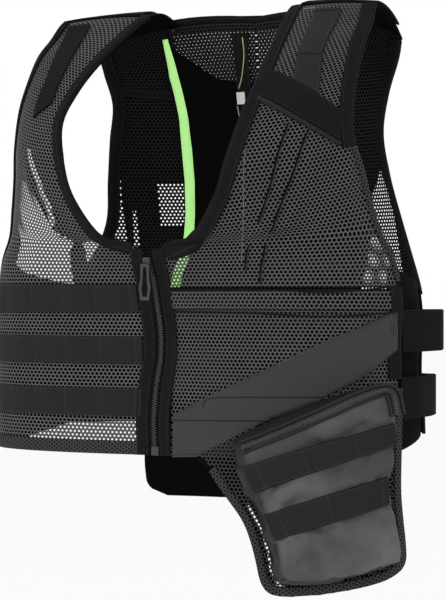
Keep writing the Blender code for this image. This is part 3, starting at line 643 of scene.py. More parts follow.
def ribbed(name, tones):
    """Ribbed webbing with stitches along each edge: its finish, ribs and stitches."""
    finish = Finish(name, tones.webbing, 0.75, 0.08)
    u, v = finish.cloth()
    ribs = u.wave(0.0016) * 0.5 + (v + u * 0.6).wave(0.0011) * 0.5
    finish.tint(finish.noise(30.0) * 0.5, scaled(tones.webbing, 1.5))
    sewn = stitches(finish, 0.0016)
    finish.tint(sewn, scaled(tones.webbing, 2.2))
    return finish, ribs, sewn


def webbing_look(tones):
    finish, ribs, sewn = ribbed("webbing", tones)
    return finish.close(ribs + sewn, 0.0003)


def tacked_look(tones):
    """Webbing sewn down at even steps by dense bars of thread."""
    finish, ribs, sewn = ribbed("tacked_webbing", tones)
    u, v = finish.cloth()
    bar = abs(v.repeat(TACK_PITCH) - 0.5) < 0.014
    threads = bar * (0.5 + 0.5 * u.wave(0.0009))
    finish.tint(threads, scaled(tones.webbing, 2.0))
    return finish.close(ribs * (1 - bar) + sewn - threads * 1.5, 0.0004)


def elastic_look(tones):
    finish = Finish("elastic", scaled(tones.webbing, 0.22), 0.85, 0.03)
    u, v = finish.cloth()
    ribs = u.wave(0.0022) * 0.7 + v.wave(0.0010) * 0.3
    finish.tint(u.wave(0.0022) * v.wave(0.0014), scaled(tones.webbing, 0.55))
    return finish.close(ribs, 0.0005)


def rubber_look(tones):
    finish = Finish("rubberised", tones.rubber, 0.55, 0.25)
    grain = finish.noise(1400.0, 2.0)
    cloudy = finish.noise(18.0, 4.0)
    finish.tint(cloudy * 0.8, scaled(tones.rubber, 1.45))
    sewn = stitches(finish, 0.0025)
    finish.tint(sewn, scaled(tones.rubber, 0.35))
    return finish.close(grain * 0.5 + sewn, 0.0003, 0.42 + cloudy * 0.2)


def pocket_look(tones):
    """Coated cloth with pale patches of painted highlight over its face; the walls of the pocket
    are black net.
    """
    finish = Finish("pocket_face", scaled(tones.pocket, 0.8), 0.5, 0.20)
    grain = finish.noise(1400.0, 2.0)
    cloudy = finish.noise(16.0, 4.0)
    # Painted highlight: pale patches where the noise runs high.
    finish.tint((cloudy - 0.38) * 3.5, scaled(tones.pocket, 1.9))
    face = finish.edge()
    finish.tint(1 - face, scaled(tones.cloth, 0.7))
    return finish.close(grain * 0.5, 0.0003, 0.45 + cloudy * 0.15)


def seam_look(tones):
    """Painted shade: a dark strip for the shadowed hollow of a seam or the shaded side of a pleat.
    """
    return Finish("seam", scaled(tones.cloth, 0.6), 0.9, 0.02).close()


def light_line_look(tones):
    """Painted light: a pale line with a grain like yarn."""
    finish = Finish("thread", (0.55, 0.60, 0.28), 0.7, 0.1)
    _, v = finish.cloth()
    finish.tint(finish.noise(150.0) * 0.7, (0.12, 0.14, 0.06))
    return finish.close(v.wave(0.0012), 0.0002)


def neon_look(tones):
    finish = Finish("neon", tones.neon, 0.60, 0.25)
    u, v = finish.cloth()
    # Painted light: the piping glows a little, so that it stays bright in the shade inside the
    # back.
    finish.shader.inputs["Emission Color"].default_value = (*tones.neon, 1)
    finish.shader.inputs["Emission Strength"].default_value = 0.40
    weave = (u + v).wave(0.0008) * (u - v).wave(0.0008)
    finish.tint(weave * 0.35, scaled(tones.neon, 0.75))
    return finish.close(weave, 0.0003)


def label_look(tones):
    finish = Finish("label", tones.label, 0.7, 0.2)
    u, v = finish.cloth()
    weave = u.wave(0.0006) * v.wave(0.0006)
    finish.tint(weave * 0.3, scaled(tones.label, 0.7))
    return finish.close(weave, 0.0001)


def metal_look(tones):
    finish = Finish("zip_metal", tones.metal, 0.38, 0.5, 0.85)
    worn = finish.noise(160.0, 4.0)
    finish.tint(worn * 0.6, scaled(tones.metal, 2.2))
    return finish.close(finish.noise(900.0), 0.0001, 0.30 + worn * 0.2)


def coil_look(tones):
    finish = Finish("zip_coil", scaled(tones.webbing, 1.6), 0.4, 0.5)
    finish.tint(finish.noise(300.0) * 0.5, scaled(tones.webbing, 2.4))
    return finish.close()


TACK_PITCH = 0.0375
# Each look's maker and its slot
LOOKS = {
    # The three nets share one yarn: crest sets its painted highlight and hollow its painted shade.
    # The back net is a darker copy with little painted highlight, for the shade inside the back;
    # the skirt net has half the painted highlight.
    "net": (partial(yarn, "net", crest=1.0, hollow=0.05), "net"),
    "back_net": (partial(yarn, "back_net", crest=0.15, hollow=0.02), "net"),
    "skirt": (partial(yarn, "skirt_net", crest=0.5, hollow=0.03), "net"),
    "fold": (fold_look, "net"),
    "cloth": (cloth_look, "cloth"),
    "spacer_mesh_and_shade_sheet": (pad_look, "cloth"),
    "lining": (lining_look, "cloth"),
    "seam": (seam_look, "cloth"),
    "webbing": (webbing_look, "webbing"),
    "tacked": (tacked_look, "webbing"),
    "elastic": (elastic_look, "webbing"),
    "rubber": (rubber_look, "rubberised"),
    "pocket": (pocket_look, "rubberised"),
    "thread": (light_line_look, "neon"),
    "neon": (neon_look, "neon"),
    "label": (label_look, "label"),
    "metal": (metal_look, "zip_metal"),
    "coil": (coil_look, "zip_metal"),
}
MADE = {}


def look(name):
    """A named material, made once."""
    if name not in MADE:
        MADE[name] = LOOKS[name][0](bpy.context.scene.vest_colours)
    return MADE[name]


# Mesh helpers


def add_piece(name, mesh, finish, nodes=()):
    """A finished piece that rides on the vest and stands for CAD nodes."""
    mesh.materials.clear()
    mesh.materials.append(look(finish))
    made = bpy.data.objects.new(name, mesh)
    bpy.context.scene.collection.objects.link(made)
    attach(made, "vest")
    if nodes:
        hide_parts(*nodes)
    return made


def coordinates(mesh):
    at = np.empty(len(mesh.vertices) * 3)
    mesh.vertices.foreach_get("co", at)
    return at.reshape(-1, 3)


def place_points(mesh, at):
    mesh.vertices.foreach_set("co", at.ravel())


def made_mesh(bm, name):
    """The bmesh as a new mesh, and its flat coordinates."""
    mesh = bpy.data.meshes.new(name)
    bm.to_mesh(mesh)
    bm.free()
    return mesh, coordinates(mesh)


def corner_map(mesh, name, uv):
    """A map on the mesh's corners from its values on each point."""
    corner = np.empty(len(mesh.loops), int)
    mesh.loops.foreach_get("vertex_index", corner)
    layer = mesh.uv_layers.new(name=name)
    layer.data.foreach_set("uv", uv[corner].astype(np.float32).ravel())


def paint_map(mesh, uv, edge=None):
    """Stores metres across and along on each corner, and metres from the edge on each point."""
    corner_map(mesh, "Cloth", uv)
    if edge is not None:
        mesh.attributes.new("edge", "FLOAT", "POINT").data.foreach_set(
            "value", edge.astype(np.float32))


def grid(columns, rows):
    """A flat sheet mesh with its shares across and down."""
    bm = bmesh.new()
    bmesh.ops.create_grid(bm, x_segments=columns, y_segments=rows, size=0.5)
    mesh, flat = made_mesh(bm, "sheet")
    return mesh, flat[:, 0] + 0.5, flat[:, 1] + 0.5


def ring_grid(ring, rows):
    """A sheet mesh to wrap as a tube: the mesh, each point's share and lift, and its row."""
    mesh, a, b = grid(len(ring) - 1, rows)
    share, lift = ring[np.rint(a * (len(ring) - 1)).astype(int)].T
    return mesh, share, lift, np.rint(b * rows).astype(int)


def from_rim(share):
    return np.minimum(share, 1 - share)


def close_tube(mesh, caps=True):
    """Welds the first and last columns, closes the ends and turns the faces outwards."""
    bm = bmesh.new()
    bm.from_mesh(mesh)
    bmesh.ops.remove_doubles(bm, verts=bm.verts, dist=1e-6)
    if caps:
        ends = [edge for edge in bm.edges if edge.is_boundary]
        bmesh.ops.holes_fill(bm, edges=ends, sides=0)
    bmesh.ops.recalc_face_normals(bm, faces=bm.faces)
    if bm.calc_volume(signed=True) < 0:
        bmesh.ops.reverse_faces(bm, faces=bm.faces)
    bm.to_mesh(mesh)
    bm.free()
    mesh.shade_smooth()
    mesh.set_sharp_from_angle(angle=math.radians(50))


def section(width, low, high, columns=7, puff=0.0, lip=0.0009):
    """A closed tape section: share across and lift, with rounded edges and a puffed face."""
    rim = min(0.3, lip / width)
    shares = rim + (1 - 2 * rim) * np.linspace(0, 1, columns)
    face = [(a, high + puff * math.sin(math.pi * a)) for a in shares]
    mid = (low + high) / 2
    under = [(a, low) for a in shares[::-1]]
    ring = [(0.0, mid)] + face + [(1.0, mid)] + under
    return np.array(ring + ring[:1])


def inside(outline, height, distance):
    """Which places lie within an outline of (height, distance) corners."""
    within = np.zeros(np.shape(height), bool)
    for (h0, d0), (h1, d1) in zip(outline, outline[1:] + outline[:1]):
        if h0 == h1:
            continue
        crosses = (h0 > height) != (h1 > height)
        within ^= crosses & (distance < d0 + (height - h0) * (d1 - d0) / (h1 - h0))
    return within


def clear_of(openings, height, distance):
    """Which places lie in none of the openings."""
    free = np.ones(np.shape(height), bool)
    for outline in openings:
        free &= ~inside(outline, height, distance)
    return free


def declare(made, wide, tall):
    """Works out the area of a piece's sheet, held between 0.3 and 1 times wide by tall."""
    area = sum(face.area for face in made.data.polygons) / 2
    area = min(max(area, 0.3 * wide * tall), wide * tall)


def columns_at(steps, index, table):
    """Each column of the table, read between its rows."""
    return np.stack([np.interp(steps, index, column) for column in np.transpose(table)], axis=1)


def resample(table, rows):
    """A table filled in evenly to this many rows."""
    return columns_at(np.linspace(0, len(table) - 1, rows + 1), np.arange(len(table)), table)


def level_run(heights, distances):
    """A path of these heights and distances; distances may be one number."""
    return np.stack(np.broadcast_arrays(heights, distances), axis=1)


def tape(name, finish, surface, side, inner, outer, ring, rows, nodes=(), bow=None, start=0.0):
    """A tape between two edges on a form; bow adds a lift from metres along."""
    inner, outer = resample(inner, rows), resample(outer, rows)
    near, far = surface.place(*inner.T), surface.place(*outer.T)
    width = float(np.linalg.norm(far - near, axis=1).mean())
    middle = (near + far) / 2
    mesh, share, lift, j = ring_grid(ring, rows)
    v = lengths_along(middle)[j] + start
    if bow is not None:
        lift = lift + bow(v, share)
    spot = inner[j] + (outer[j] - inner[j]) * share[:, None]
    place_points(mesh, surface.place(*spot.T, lift, side))
    paint_map(mesh, np.stack([share * width, v], axis=1), from_rim(share) * width)
    close_tube(mesh)
    return add_piece(name, mesh, finish, nodes)


def outline_edges(surface, table, rows):
    """The two edges of an outline table, in heights and metres across."""
    h0, w0, h1, w1 = resample(table, rows).T
    return level_run(h0, w0 * surface.width(h0)), level_run(h1, w1 * surface.width(h1))


def crosswise(inner, outer, columns):
    """The first and last lines of an outline, run from its inner to its outer edge."""
    t = np.linspace(0, 1, columns + 1)[:, None]
    return inner[0] + (outer[0] - inner[0]) * t, inner[-1] + (outer[-1] - inner[-1]) * t


def rim_run(surface, heights, towards):
    return level_run(heights, 0.0 if towards > 0 else surface.width(heights))


def smooth_run(places, count, passes=3):
    """A path of (height, distance) with its corners rounded, in even steps of length."""
    places = np.array(places, float)
    for _ in range(passes):
        near, far = places[:-1] * 0.75 + places[1:] * 0.25, places[:-1] * 0.25 + places[1:] * 0.75
        places = np.concatenate([places[:1], np.stack([near, far], 1).reshape(-1, 2), places[-1:]])
    along = lengths_along(places * (bpy.context.scene.vest_sizes.body_length, 1))
    return columns_at(np.linspace(0, along[-1], count), along, places)


def beside(path, offset):
    """A path moved sideways on its form by this many metres."""
    length = bpy.context.scene.vest_sizes.body_length
    flat = path * (length, 1)
    down, across = unit(np.gradient(flat, axis=0)).T
    return (flat + np.stack([-across, down], axis=1) * offset) / (length, 1)


def seam(name, surface, side, path, width, lift, finish="seam", rows=60, rise=0.0006):
    """A narrow line along a path on a form."""
    path = smooth_run(path, rows + 1)
    ring = section(width, lift, lift + rise, 4, rise * 0.4, width * 0.25)
    return tape(name, finish, surface, side, beside(path, -width / 2), beside(path, width / 2),
                ring, rows)


def backing(name, finish, surface, side, heights, span, lift, openings=(), outline=None):
    """Cloth between two heights on a form, cut away in its openings along their exact edges.
    Behind the front nets it is a black sheet of painted shade.
    """
    wall, flat_wall, cell = 0.0006, 0.01, 0.006
    length = bpy.context.scene.vest_sizes.body_length
    line = np.linspace(*heights, 60)
    first, last = span(line)
    wide, tall = float(last.max() - first.min()), (heights[1] - heights[0]) * length
    middle = Vector(((last.max() + first.min()) / 2, (heights[0] + heights[1]) / 2 * length, 0))
    bm = bmesh.new()
    bmesh.ops.create_grid(bm, x_segments=int(wide / cell), y_segments=int(tall / cell), size=0.5)
    bmesh.ops.transform(bm, verts=bm.verts, matrix=(
        Matrix.Translation(middle) @ Matrix.Diagonal((wide, tall, 1, 1))))
    for corners in list(openings) + ([outline] if outline else []):
        for (h0, d0), (h1, d1) in zip(corners, corners[1:] + corners[:1]):
            start, run = Vector((d0, h0 * length, 0)), Vector((d1 - d0, (h1 - h0) * length, 0))
            near = [edge for edge in bm.edges
                    if ((edge.verts[0].co + edge.verts[1].co) / 2 - start - run / 2).length
                    < run.length / 2 + 2 * cell]
            faces = dict.fromkeys(face for edge in near for face in edge.link_faces)
            edges = dict.fromkeys(edge for face in faces for edge in face.edges)
            points = dict.fromkeys(vert for face in faces for vert in face.verts)
            bmesh.ops.bisect_plane(bm, geom=[*points, *edges, *faces], dist=1e-5,
                                   plane_co=start, plane_no=Vector((run.y, -run.x, 0)))
    centres = np.array([face.calc_center_median() for face in bm.faces])
    height, distance = centres[:, 1] / length, centres[:, 0]
    kept = clear_of(openings, height, distance)
    low, high = span(height)
    kept &= (distance > low) & (distance < high)
    if outline:
        kept &= inside(outline, height, distance)
    waste = [face for face, keep in zip(bm.faces, kept) if not keep]
    bmesh.ops.delete(bm, geom=waste, context="FACES")
    bmesh.ops.solidify(bm, geom=bm.faces[:], thickness=flat_wall)
    mesh, flat = made_mesh(bm, name)
    height = flat[:, 1] / length
    distance = np.clip(flat[:, 0], *span(height))
    raised = lift + wall * (np.abs(flat[:, 2]) > flat_wall / 2)
    place_points(mesh, surface.place(height, distance, raised, side))
    paint_map(mesh, flat[:, :2], 0 * height + 0.05)
    close_tube(mesh, caps=False)
    declare(add_piece(name, mesh, finish), wide, tall)


def binding(name, surface, side, low, high, towards, width, rows, node, finish="cloth"):
    """A tape folded round an edge, sewn through near its inner side."""
    sizes = bpy.context.scene.vest_sizes
    heights = np.linspace(low, high, rows + 1)
    outer = rim_run(surface, heights, towards)
    inner = surface.inset(heights, width, towards)
    face, back, fold = sizes.tape_high, -sizes.tape_high * 0.75, 0.0011 / width
    mid = sizes.tape_low
    ring = np.array([
        (1.0, mid), (0.97, face * 0.9), (0.80, face), (0.72, face * 0.86), (0.55, face),
        (0.25, face), (0.06, face * 0.92), (-fold * 0.7, face * 0.55), (-fold, 0.0),
        (-fold * 0.7, back * 0.6), (0.06, back), (0.40, back), (0.80, back),
        (0.97, back * 0.9), (1.0, -mid), (1.0, mid)])
    tape(name, finish, surface, side, outer, inner, ring, rows, [node])


# Net


def hexagon_sheet(wide, tall, across, down, strand, rise, keep):
    """A flat lattice of six-sided holes. keep says which hole centres are cloth."""
    bm = bmesh.new()
    size = Matrix.Diagonal((across / math.sqrt(3), down / 1.5, 1, 1))
    for x, y in ((0, 0), (across / 2, down)):
        shift = Matrix.Translation((x, y, 0))
        bmesh.ops.create_circle(bm, cap_ends=True, segments=6, radius=1,
                                matrix=shift @ size)
    for reach, step, axis in ((wide, across, 0), (tall, 2 * down, 1)):
        count = 1
        while count * step < reach:
            copy = bmesh.ops.duplicate(bm, geom=bm.verts[:] + bm.edges[:] + bm.faces[:])
            shift = Vector((0, 0, 0))
            shift[axis] = count * step
            bmesh.ops.translate(bm, vec=shift, verts=[
                item for item in copy["geom"] if isinstance(item, bmesh.types.BMVert)])
            count *= 2
    centres = np.array([face.calc_center_median()[:2] for face in bm.faces])
    cloth = keep(centres[:, 0], centres[:, 1])
    waste = [face for face, kept in zip(bm.faces, cloth) if not kept]
    bmesh.ops.delete(bm, geom=waste, context="FACES")
    bmesh.ops.remove_doubles(bm, verts=bm.verts, dist=1e-5)
    holes = bm.faces[:]
    knots = {vert for vert in bm.verts if not vert.is_boundary}
    bmesh.ops.inset_individual(bm, faces=holes, thickness=strand, use_even_offset=True)
    bmesh.ops.delete(bm, geom=holes, context="FACES_ONLY")
    copy = bmesh.ops.duplicate(bm, geom=bm.verts[:] + bm.edges[:] + bm.faces[:])
    for vert in knots:
        vert.co.z = rise
        copy["vert_map"][vert].co.z = -rise
    bmesh.ops.remove_doubles(bm, verts=bm.verts, dist=1e-6)
    flat = [face for face in bm.faces if all(vert.co.z == 0 for vert in face.verts)]
    bmesh.ops.delete(bm, geom=flat, context="FACES")
    bmesh.ops.recalc_face_normals(bm, faces=bm.faces)
    return bm, int(cloth.sum())


def net(name, finish, surface, side, heights, span, nodes=(), guide=None, lift=0.0,
        shift=0.0, outline=None, strand=None, pull=0.0):
    """Open net on a form between two heights; span gives its first and last metres across.
    The holes' rows follow guide. pull widens the holes towards the side."""
    sizes = bpy.context.scene.vest_sizes
    strand = strand or sizes.strand
    across, down = sizes.hole_across, sizes.hole_down
    low, high = np.interp(heights, surface.heights, surface.lengths)
    line = np.linspace(*heights, 200)
    first, last = span(line)
    bias = guide or (lambda h: 0 * h)
    left = float((first - bias(line)).min()) - shift
    right = float((last - bias(line)).max())

    def unroll(x, y):
        height = np.interp(y + low, surface.lengths, surface.heights)
        return height, x + pull * x * x + left + bias(height)

    def keep(x, y):
        height, distance = unroll(x, y)
        start, end = span(height)
        kept = (y < high - low) & (y > 0) & (distance > start) & (distance < end)
        return kept & inside(outline, height, distance) if outline else kept

    bm, holes = hexagon_sheet(right - left, high - low, across, down, strand,
                              sizes.strand_rise, keep)
    mesh, flat = made_mesh(bm, name)
    height, distance = unroll(flat[:, 0], flat[:, 1])
    height = np.clip(height, *heights)
    start, end = span(height)
    distance = np.clip(distance, start, end)
    place_points(mesh, surface.place(height, distance, flat[:, 2] + lift, side))
    if side < 0:
        mesh.flip_normals()
    # The edge attribute holds each point's share up its strand, from 0 at a hole to 1 at the
    # ridge: the mask of the yarn's painted highlight.
    paint_map(mesh, flat[:, :2], np.abs(flat[:, 2]) / sizes.strand_rise)
    corner_map(mesh, "OFBake", flat[:, :2] / max(right - left, high - low))
    mesh.shade_smooth()
    made = add_piece(name, mesh, finish, nodes)
    hole = (1 - 2 * strand / across) * (1 - 1.5 * strand / down)
    area = holes * across * down * (1 - hole)


def between(first, last):
    """A span from first to last metres across at every height."""
    return lambda height: (0 * height + first, 0 * height + last)


def to_side(surface, first=0.0, over=0.0):
    """A span from first metres across to the form's side, and over past it."""
    return lambda height: (0 * height + first, surface.width(height) + over)


def front_guide(height):
    """Metres across to a plumb line down the middle of each front, for the net's grain."""
    surface = form("front")
    rows = surface.grid[:, :, 0]
    plumb = bpy.context.scene.vest_sizes.half_width * 0.58
    shares = np.array([np.interp(plumb, row, surface.shares) for row in rows])
    return np.interp(height, surface.heights, shares * surface.widths)


class VEST_OT_nets(bpy.types.Operator):
    """Lay the open net over both fronts"""

    bl_idname = "vest.nets"
    bl_label = "Front nets"

    def execute(self, context):
        front = form("front")
        span, behind, foot = to_side(front), -0.0032, FRONT_HEM - 0.01
        net("front_net_right", "net", front, -1, (0.0, FRONT_HEM), span, ["front_right_net"],
            front_guide, strand=0.00105, pull=1.0)
        # Black sheets of painted shade just behind the front nets, for the dark seen through them,
        # cut open where light shows through.
        backing("shade_sheet_front_right", "spacer_mesh_and_shade_sheet", front, -1, (0.0, foot),
                to_side(front, over=0.0015), behind, CLEAR_FRONT)
        backing("shade_sheet_front_left", "spacer_mesh_and_shade_sheet", front, 1, (0.0, 0.300), span, behind)
        backing("shade_sheet_hem_left", "spacer_mesh_and_shade_sheet", front, 1, (0.840, foot), between(0.0, 0.12),
                behind)
        net("front_net_chest", "net", front, 1, (0.0, CHEST_SPLIT), span,
            ["front_left_chest_net"], front_guide)
        net("front_net_waist", "net", front, 1, (CHEST_SPLIT, FRONT_HEM), span,
            ["front_left_waist_net"], front_guide)
        net("channel_net", "net", front, 1, (CHEST_SPLIT, 0.645), span, ["channel_band"],
            front_guide, 0.0018, 0.0005)
        seam("channel_seam_top", front, 1, CHANNEL_TOP, 0.0016, 0.0024, "cloth")
        seam("channel_seam_foot", front, 1, CHANNEL_FOOT, 0.0016, 0.0024, "cloth")
        # Each pleat is a dark strip of painted shade on one side of its fold, with a paler strip
        # of painted highlight along its crest.
        for number, path in enumerate(PLEATS, 1):
            seam(f"pleat_{number}", front, 1, path, 0.0022, 0.0008)
            # Painted highlight: a paler strip along the pleat's crest.
            seam(f"pleat_highlight_{number}", front, 1, np.array(path) + np.array((0, 0.0012)),
                 0.0009, 0.0010, "rubber", 60, 0.0007)
        return {"FINISHED"}


class VEST_OT_bindings(bpy.types.Operator):
    """Fold the bindings round the neck and arm edges"""

    bl_idname = "vest.bindings"
    bl_label = "Bindings"

    def execute(self, context):
        sizes = context.scene.vest_sizes
        front, back = form("front"), form("back")
        widths = {-1: sizes.binding_right, 1: sizes.binding_left}
        arm_ends = {-1: (ARM_END, 90), 1: (ARM_FOLD, 60)}
        for word, side in SIDES:
            binding(f"neck_tape_{word}", front, side, BINDING_TOP, NECK_END, 1, widths[side], 90,
                    f"neck_binding_{word}")
            arm_end, rows = arm_ends[side]
            binding(f"arm_tape_{word}", front, side, BINDING_TOP, arm_end, -1, widths[side],
                    rows, f"arm_binding_{word}")
            binding(f"back_tape_{word}", back, side, 0.032, 0.600, -1, 0.012, 80,
                    f"back_binding_{word}")
        binding("arm_fold_left", front, 1, ARM_FOLD + 0.002, ARM_END, -1, 0.005, 40,
                "arm_edge_left", "fold")
        return {"FINISHED"}


def patch(name, finish, table, side, rows, columns, nodes, high=1.0, puff=0.0, across=True):
    """Cloth laid over the net inside an outline, sewn along its long edges. high is its face's
    lift as a share of a tape's."""
    sizes = bpy.context.scene.vest_sizes
    front = form("front")
    inner, outer = outline_edges(front, table, 24)
    if across:
        inner, outer = crosswise(inner, outer, 40)
    wide = np.linalg.norm(front.place(*inner.T) - front.place(*outer.T), axis=1).mean()
    ring = section(wide, sizes.tape_low, sizes.tape_high * high, columns, puff)
    tape(name, finish, front, side, inner, outer, ring, rows, nodes)


class VEST_OT_patches(bpy.types.Operator):
    """Lay the shoulder strips, yoke, reinforcement and side trim"""

    bl_idname = "vest.patches"
    bl_label = "Patches"

    def execute(self, context):
        sizes = context.scene.vest_sizes
        front = form("front")
        patch("strip_right", "cloth", STRIP_RIGHT, -1, 40, 9, ["shoulder_strip_right"],
              across=False)
        patch("strip_left", "webbing", STRIP_LEFT, 1, 40, 9, ["shoulder_strip_left"],
              across=False)
        for number, (h0, w0, h1, w1) in enumerate((STRIP_LEFT[0], STRIP_LEFT[2]), 1):
            ends = ((h0 + 0.004, w0 * front.width(h0)), (h1 + 0.004, w1 * front.width(h1)))
            seam(f"strip_tack_{number}", front, 1, ends, 0.0014, 0.0030, "tacked", 20)
        patch("yoke", "cloth", YOKE_LEFT, 1, 60, 11, ["yoke_left"])
        edge = np.array(YOKE_LEFT[-1])
        table = (tuple(edge), tuple(edge + np.array((0.009, 0, 0.009, 0))))
        patch("yoke_roll", "tacked", table, 1, 60, 7, (), high=0.8, puff=0.0018)
        ribs = np.array(REINFORCEMENT)
        ring = section(0.045, sizes.tape_low, sizes.tape_high, 13)
        tape("reinforcement", "rubber", front, 1, ribs[:, :2], ribs[:, 2:], ring, 90,
             ["reinforcement_left"])
        for number, path in enumerate(PANEL_SEAMS, 1):
            seam(f"panel_seam_{number}", front, 1, path, 0.0009, 0.0027, "tacked")
        trim, wide = np.linspace(ARM_END + 0.010, 0.780, 30), 0.015
        ring = section(wide, sizes.tape_low, sizes.tape_high, 6)
        tape("side_trim", "cloth", front, 1, rim_run(front, trim, -1),
             level_run(trim, front.width(trim) - wide), ring, 40, ["side_trim_left"])
        return {"FINISHED"}


def tacked_bow(rise, sag):
    """Lift of webbing that stands off between its tacks, from metres along and share across."""
    def lift(v, share):
        step = (v / TACK_PITCH) % 1.0
        return rise * np.abs(np.cos(math.pi * step)) ** 0.7 * (share > 0.02) - sag

    return lift


class VEST_OT_webbing(bpy.types.Operator):
    """Lay the webbing rows and the hem on the right front"""

    bl_idname = "vest.webbing"
    bl_label = "Webbing rows"

    def execute(self, context):
        sizes = context.scene.vest_sizes
        front = form("front")
        ring = section(sizes.webbing, sizes.tape_low, sizes.tape_high - 0.0004, 7)
        for number, top in enumerate(WEBBING_TOPS, 1):
            tape(f"webbing_{number}", "tacked", front, -1, self.row(top),
                 self.row(top + sizes.webbing / sizes.body_length), ring, 150,
                 [f"webbing_row_{number}"], tacked_bow(0.0012, 0.0004), 0.012)
        hem = 0.0125
        ring = section(hem, -sizes.tape_low * 2, sizes.tape_high * 0.85, 6)
        tape("hem_fold_right", "fold", front, -1, self.row(FRONT_HEM - hem / sizes.body_length),
             self.row(FRONT_HEM), ring, 80, ["hem_right"])
        return {"FINISHED"}

    def row(self, height):
        """A level line from the placket to the side."""
        distances = np.linspace(0.0040, form("front").width(height), 60)
        return level_run(height, distances)


def coil_mesh(name, length, pitch=0.0022):
    """Two rows of interlocked coil turns, flat, and the coordinates of their points."""
    bm = bmesh.new()
    size = Matrix.Diagonal((0.0032, 0.00105, 0.0018, 1))
    for k in range(int(length / pitch)):
        for x, shift in ((-0.0010, 0.0), (0.0010, 0.5)):
            place = Matrix.Translation((x, (k + shift + 0.5) * pitch, 0.0008))
            cube = bmesh.ops.create_cube(bm, size=1.0, matrix=place @ size)
            edges = dict.fromkeys(edge for vert in cube["verts"] for edge in vert.link_edges)
            bmesh.ops.bevel(bm, geom=list(edges), offset=0.0003, segments=1, profile=0.5,
                            affect="EDGES", material=-1)
    mesh, flat = made_mesh(bm, name)
    paint_map(mesh, flat[:, :2])
    return mesh, flat


def turned_out(mesh):
    """Turns the faces of loose closed bodies outwards."""
    bm = bmesh.new()
    bm.from_mesh(mesh)
    bmesh.ops.recalc_face_normals(bm, faces=bm.faces)
    bm.to_mesh(mesh)
    bm.free()
    mesh.shade_smooth()
    mesh.set_sharp_from_angle(angle=math.radians(40))
    return mesh


class VEST_OT_zip(bpy.types.Operator):
    """Make the zip's plackets, tapes and coil, and finish its metal"""

    bl_idname = "vest.zip"
    bl_label = "Front zip"

    def execute(self, context):
        sizes = context.scene.vest_sizes
        front = form("front")
        heights = np.linspace(CHAIN_TOP, FRONT_HEM, 40)
        raised = np.linspace(PLACKET_TOP, FRONT_HEM, 40)
        half = 0.0065
        for word, side in SIDES:
            ring = section(2 * half, sizes.tape_low, sizes.tape_high, 6)
            self.wander(tape(f"placket_tape_{word}", "cloth", front, side,
                             level_run(raised, -half), level_run(raised, half), ring, 60,
                             [f"placket_{word}"]))
            ring = section(0.0075, -0.0007, 0.0007, 4)
            self.wander(tape(f"zip_web_{word}", "cloth", front, side,
                             level_run(heights, -0.0085), level_run(heights, -0.0010), ring, 60,
                             [f"zip_tape_{word}"]))
        length = sizes.body_length
        mesh, flat = coil_mesh("zip_coil", (FRONT_HEM - CHAIN_TOP) * length)
        height = CHAIN_TOP + flat[:, 1] / length
        at = front.place(height, 0 * height, flat[:, 2])
        at[:, 0] = flat[:, 0]
        place_points(mesh, at)
        self.wander(add_piece("zip_coil", turned_out(mesh), "coil", ["zip_chain"]))
        for name in ("zip_pull", "zip_slider", "zip_bottom_box"):
            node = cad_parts[name]
            node.data.materials.clear()
            node.data.materials.append(look("metal"))
        return {"FINISHED"}

    def wander(self, made):
        """Moves a piece sideways with the zip's drift."""
        at = coordinates(made.data)
        height = -at[:, 2] / bpy.context.scene.vest_sizes.body_length
        at[:, 0] += np.interp(height, *np.array(ZIP_DRIFT).T)
        place_points(made.data, at)


CLOTH_FRAMES = 20


def inflate(made, held, most):
    """Simulates the piece as slack cloth under a little pressure, each point kept within most
    metres of its place, and keeps the result."""
    scene = bpy.context.scene
    rest = coordinates(made.data)
    group = made.vertex_groups.new(name="held")
    group.add(np.flatnonzero(held).tolist(), 1.0, "REPLACE")
    cloth = made.modifiers.new("Cloth", "CLOTH")
    settings = cloth.settings
    settings.quality, settings.mass = 6, 0.2
    settings.tension_stiffness = settings.compression_stiffness = 20
    settings.shear_stiffness, settings.bending_stiffness = 10, 0.8
    settings.shrink_min = settings.shrink_max = -0.08
    settings.use_pressure, settings.uniform_pressure_force = True, 1.5
    settings.effector_weights.gravity = 0
    settings.vertex_group_mass = "held"
    cloth.collision_settings.use_collision = False
    cloth.point_cache.frame_start, cloth.point_cache.frame_end = 1, CLOTH_FRAMES
    for number in range(1, CLOTH_FRAMES + 1):
        scene.frame_set(number)
    graph = bpy.context.evaluated_depsgraph_get()
    moved = coordinates(made.evaluated_get(graph).data) - rest
    far = np.linalg.norm(moved, axis=1, keepdims=True)
    made.modifiers.remove(cloth)
    made.vertex_groups.clear()
    scene.frame_set(1)
    at = rest + moved * np.minimum(1, most / np.maximum(far, 1e-9))
    place_points(made.data, at)


def spread_between(edges, u, v):
    """Places at shares u across and v down inside four edges: top, foot, zip side, outer."""
    top, foot, near, far = (smooth_run(edge, 200, 2) for edge in edges)
    index = np.linspace(0, 1, 200)

    u1, v1 = u[:, None], v[:, None]
    ends = ((1 - u1) * (1 - v1) * top[0] + u1 * (1 - v1) * top[-1]
            + (1 - u1) * v1 * foot[0] + u1 * v1 * foot[-1])
    return ((1 - v1) * columns_at(u, index, top) + v1 * columns_at(u, index, foot)
            + (1 - u1) * columns_at(v, index, near) + u1 * columns_at(v, index, far) - ends)


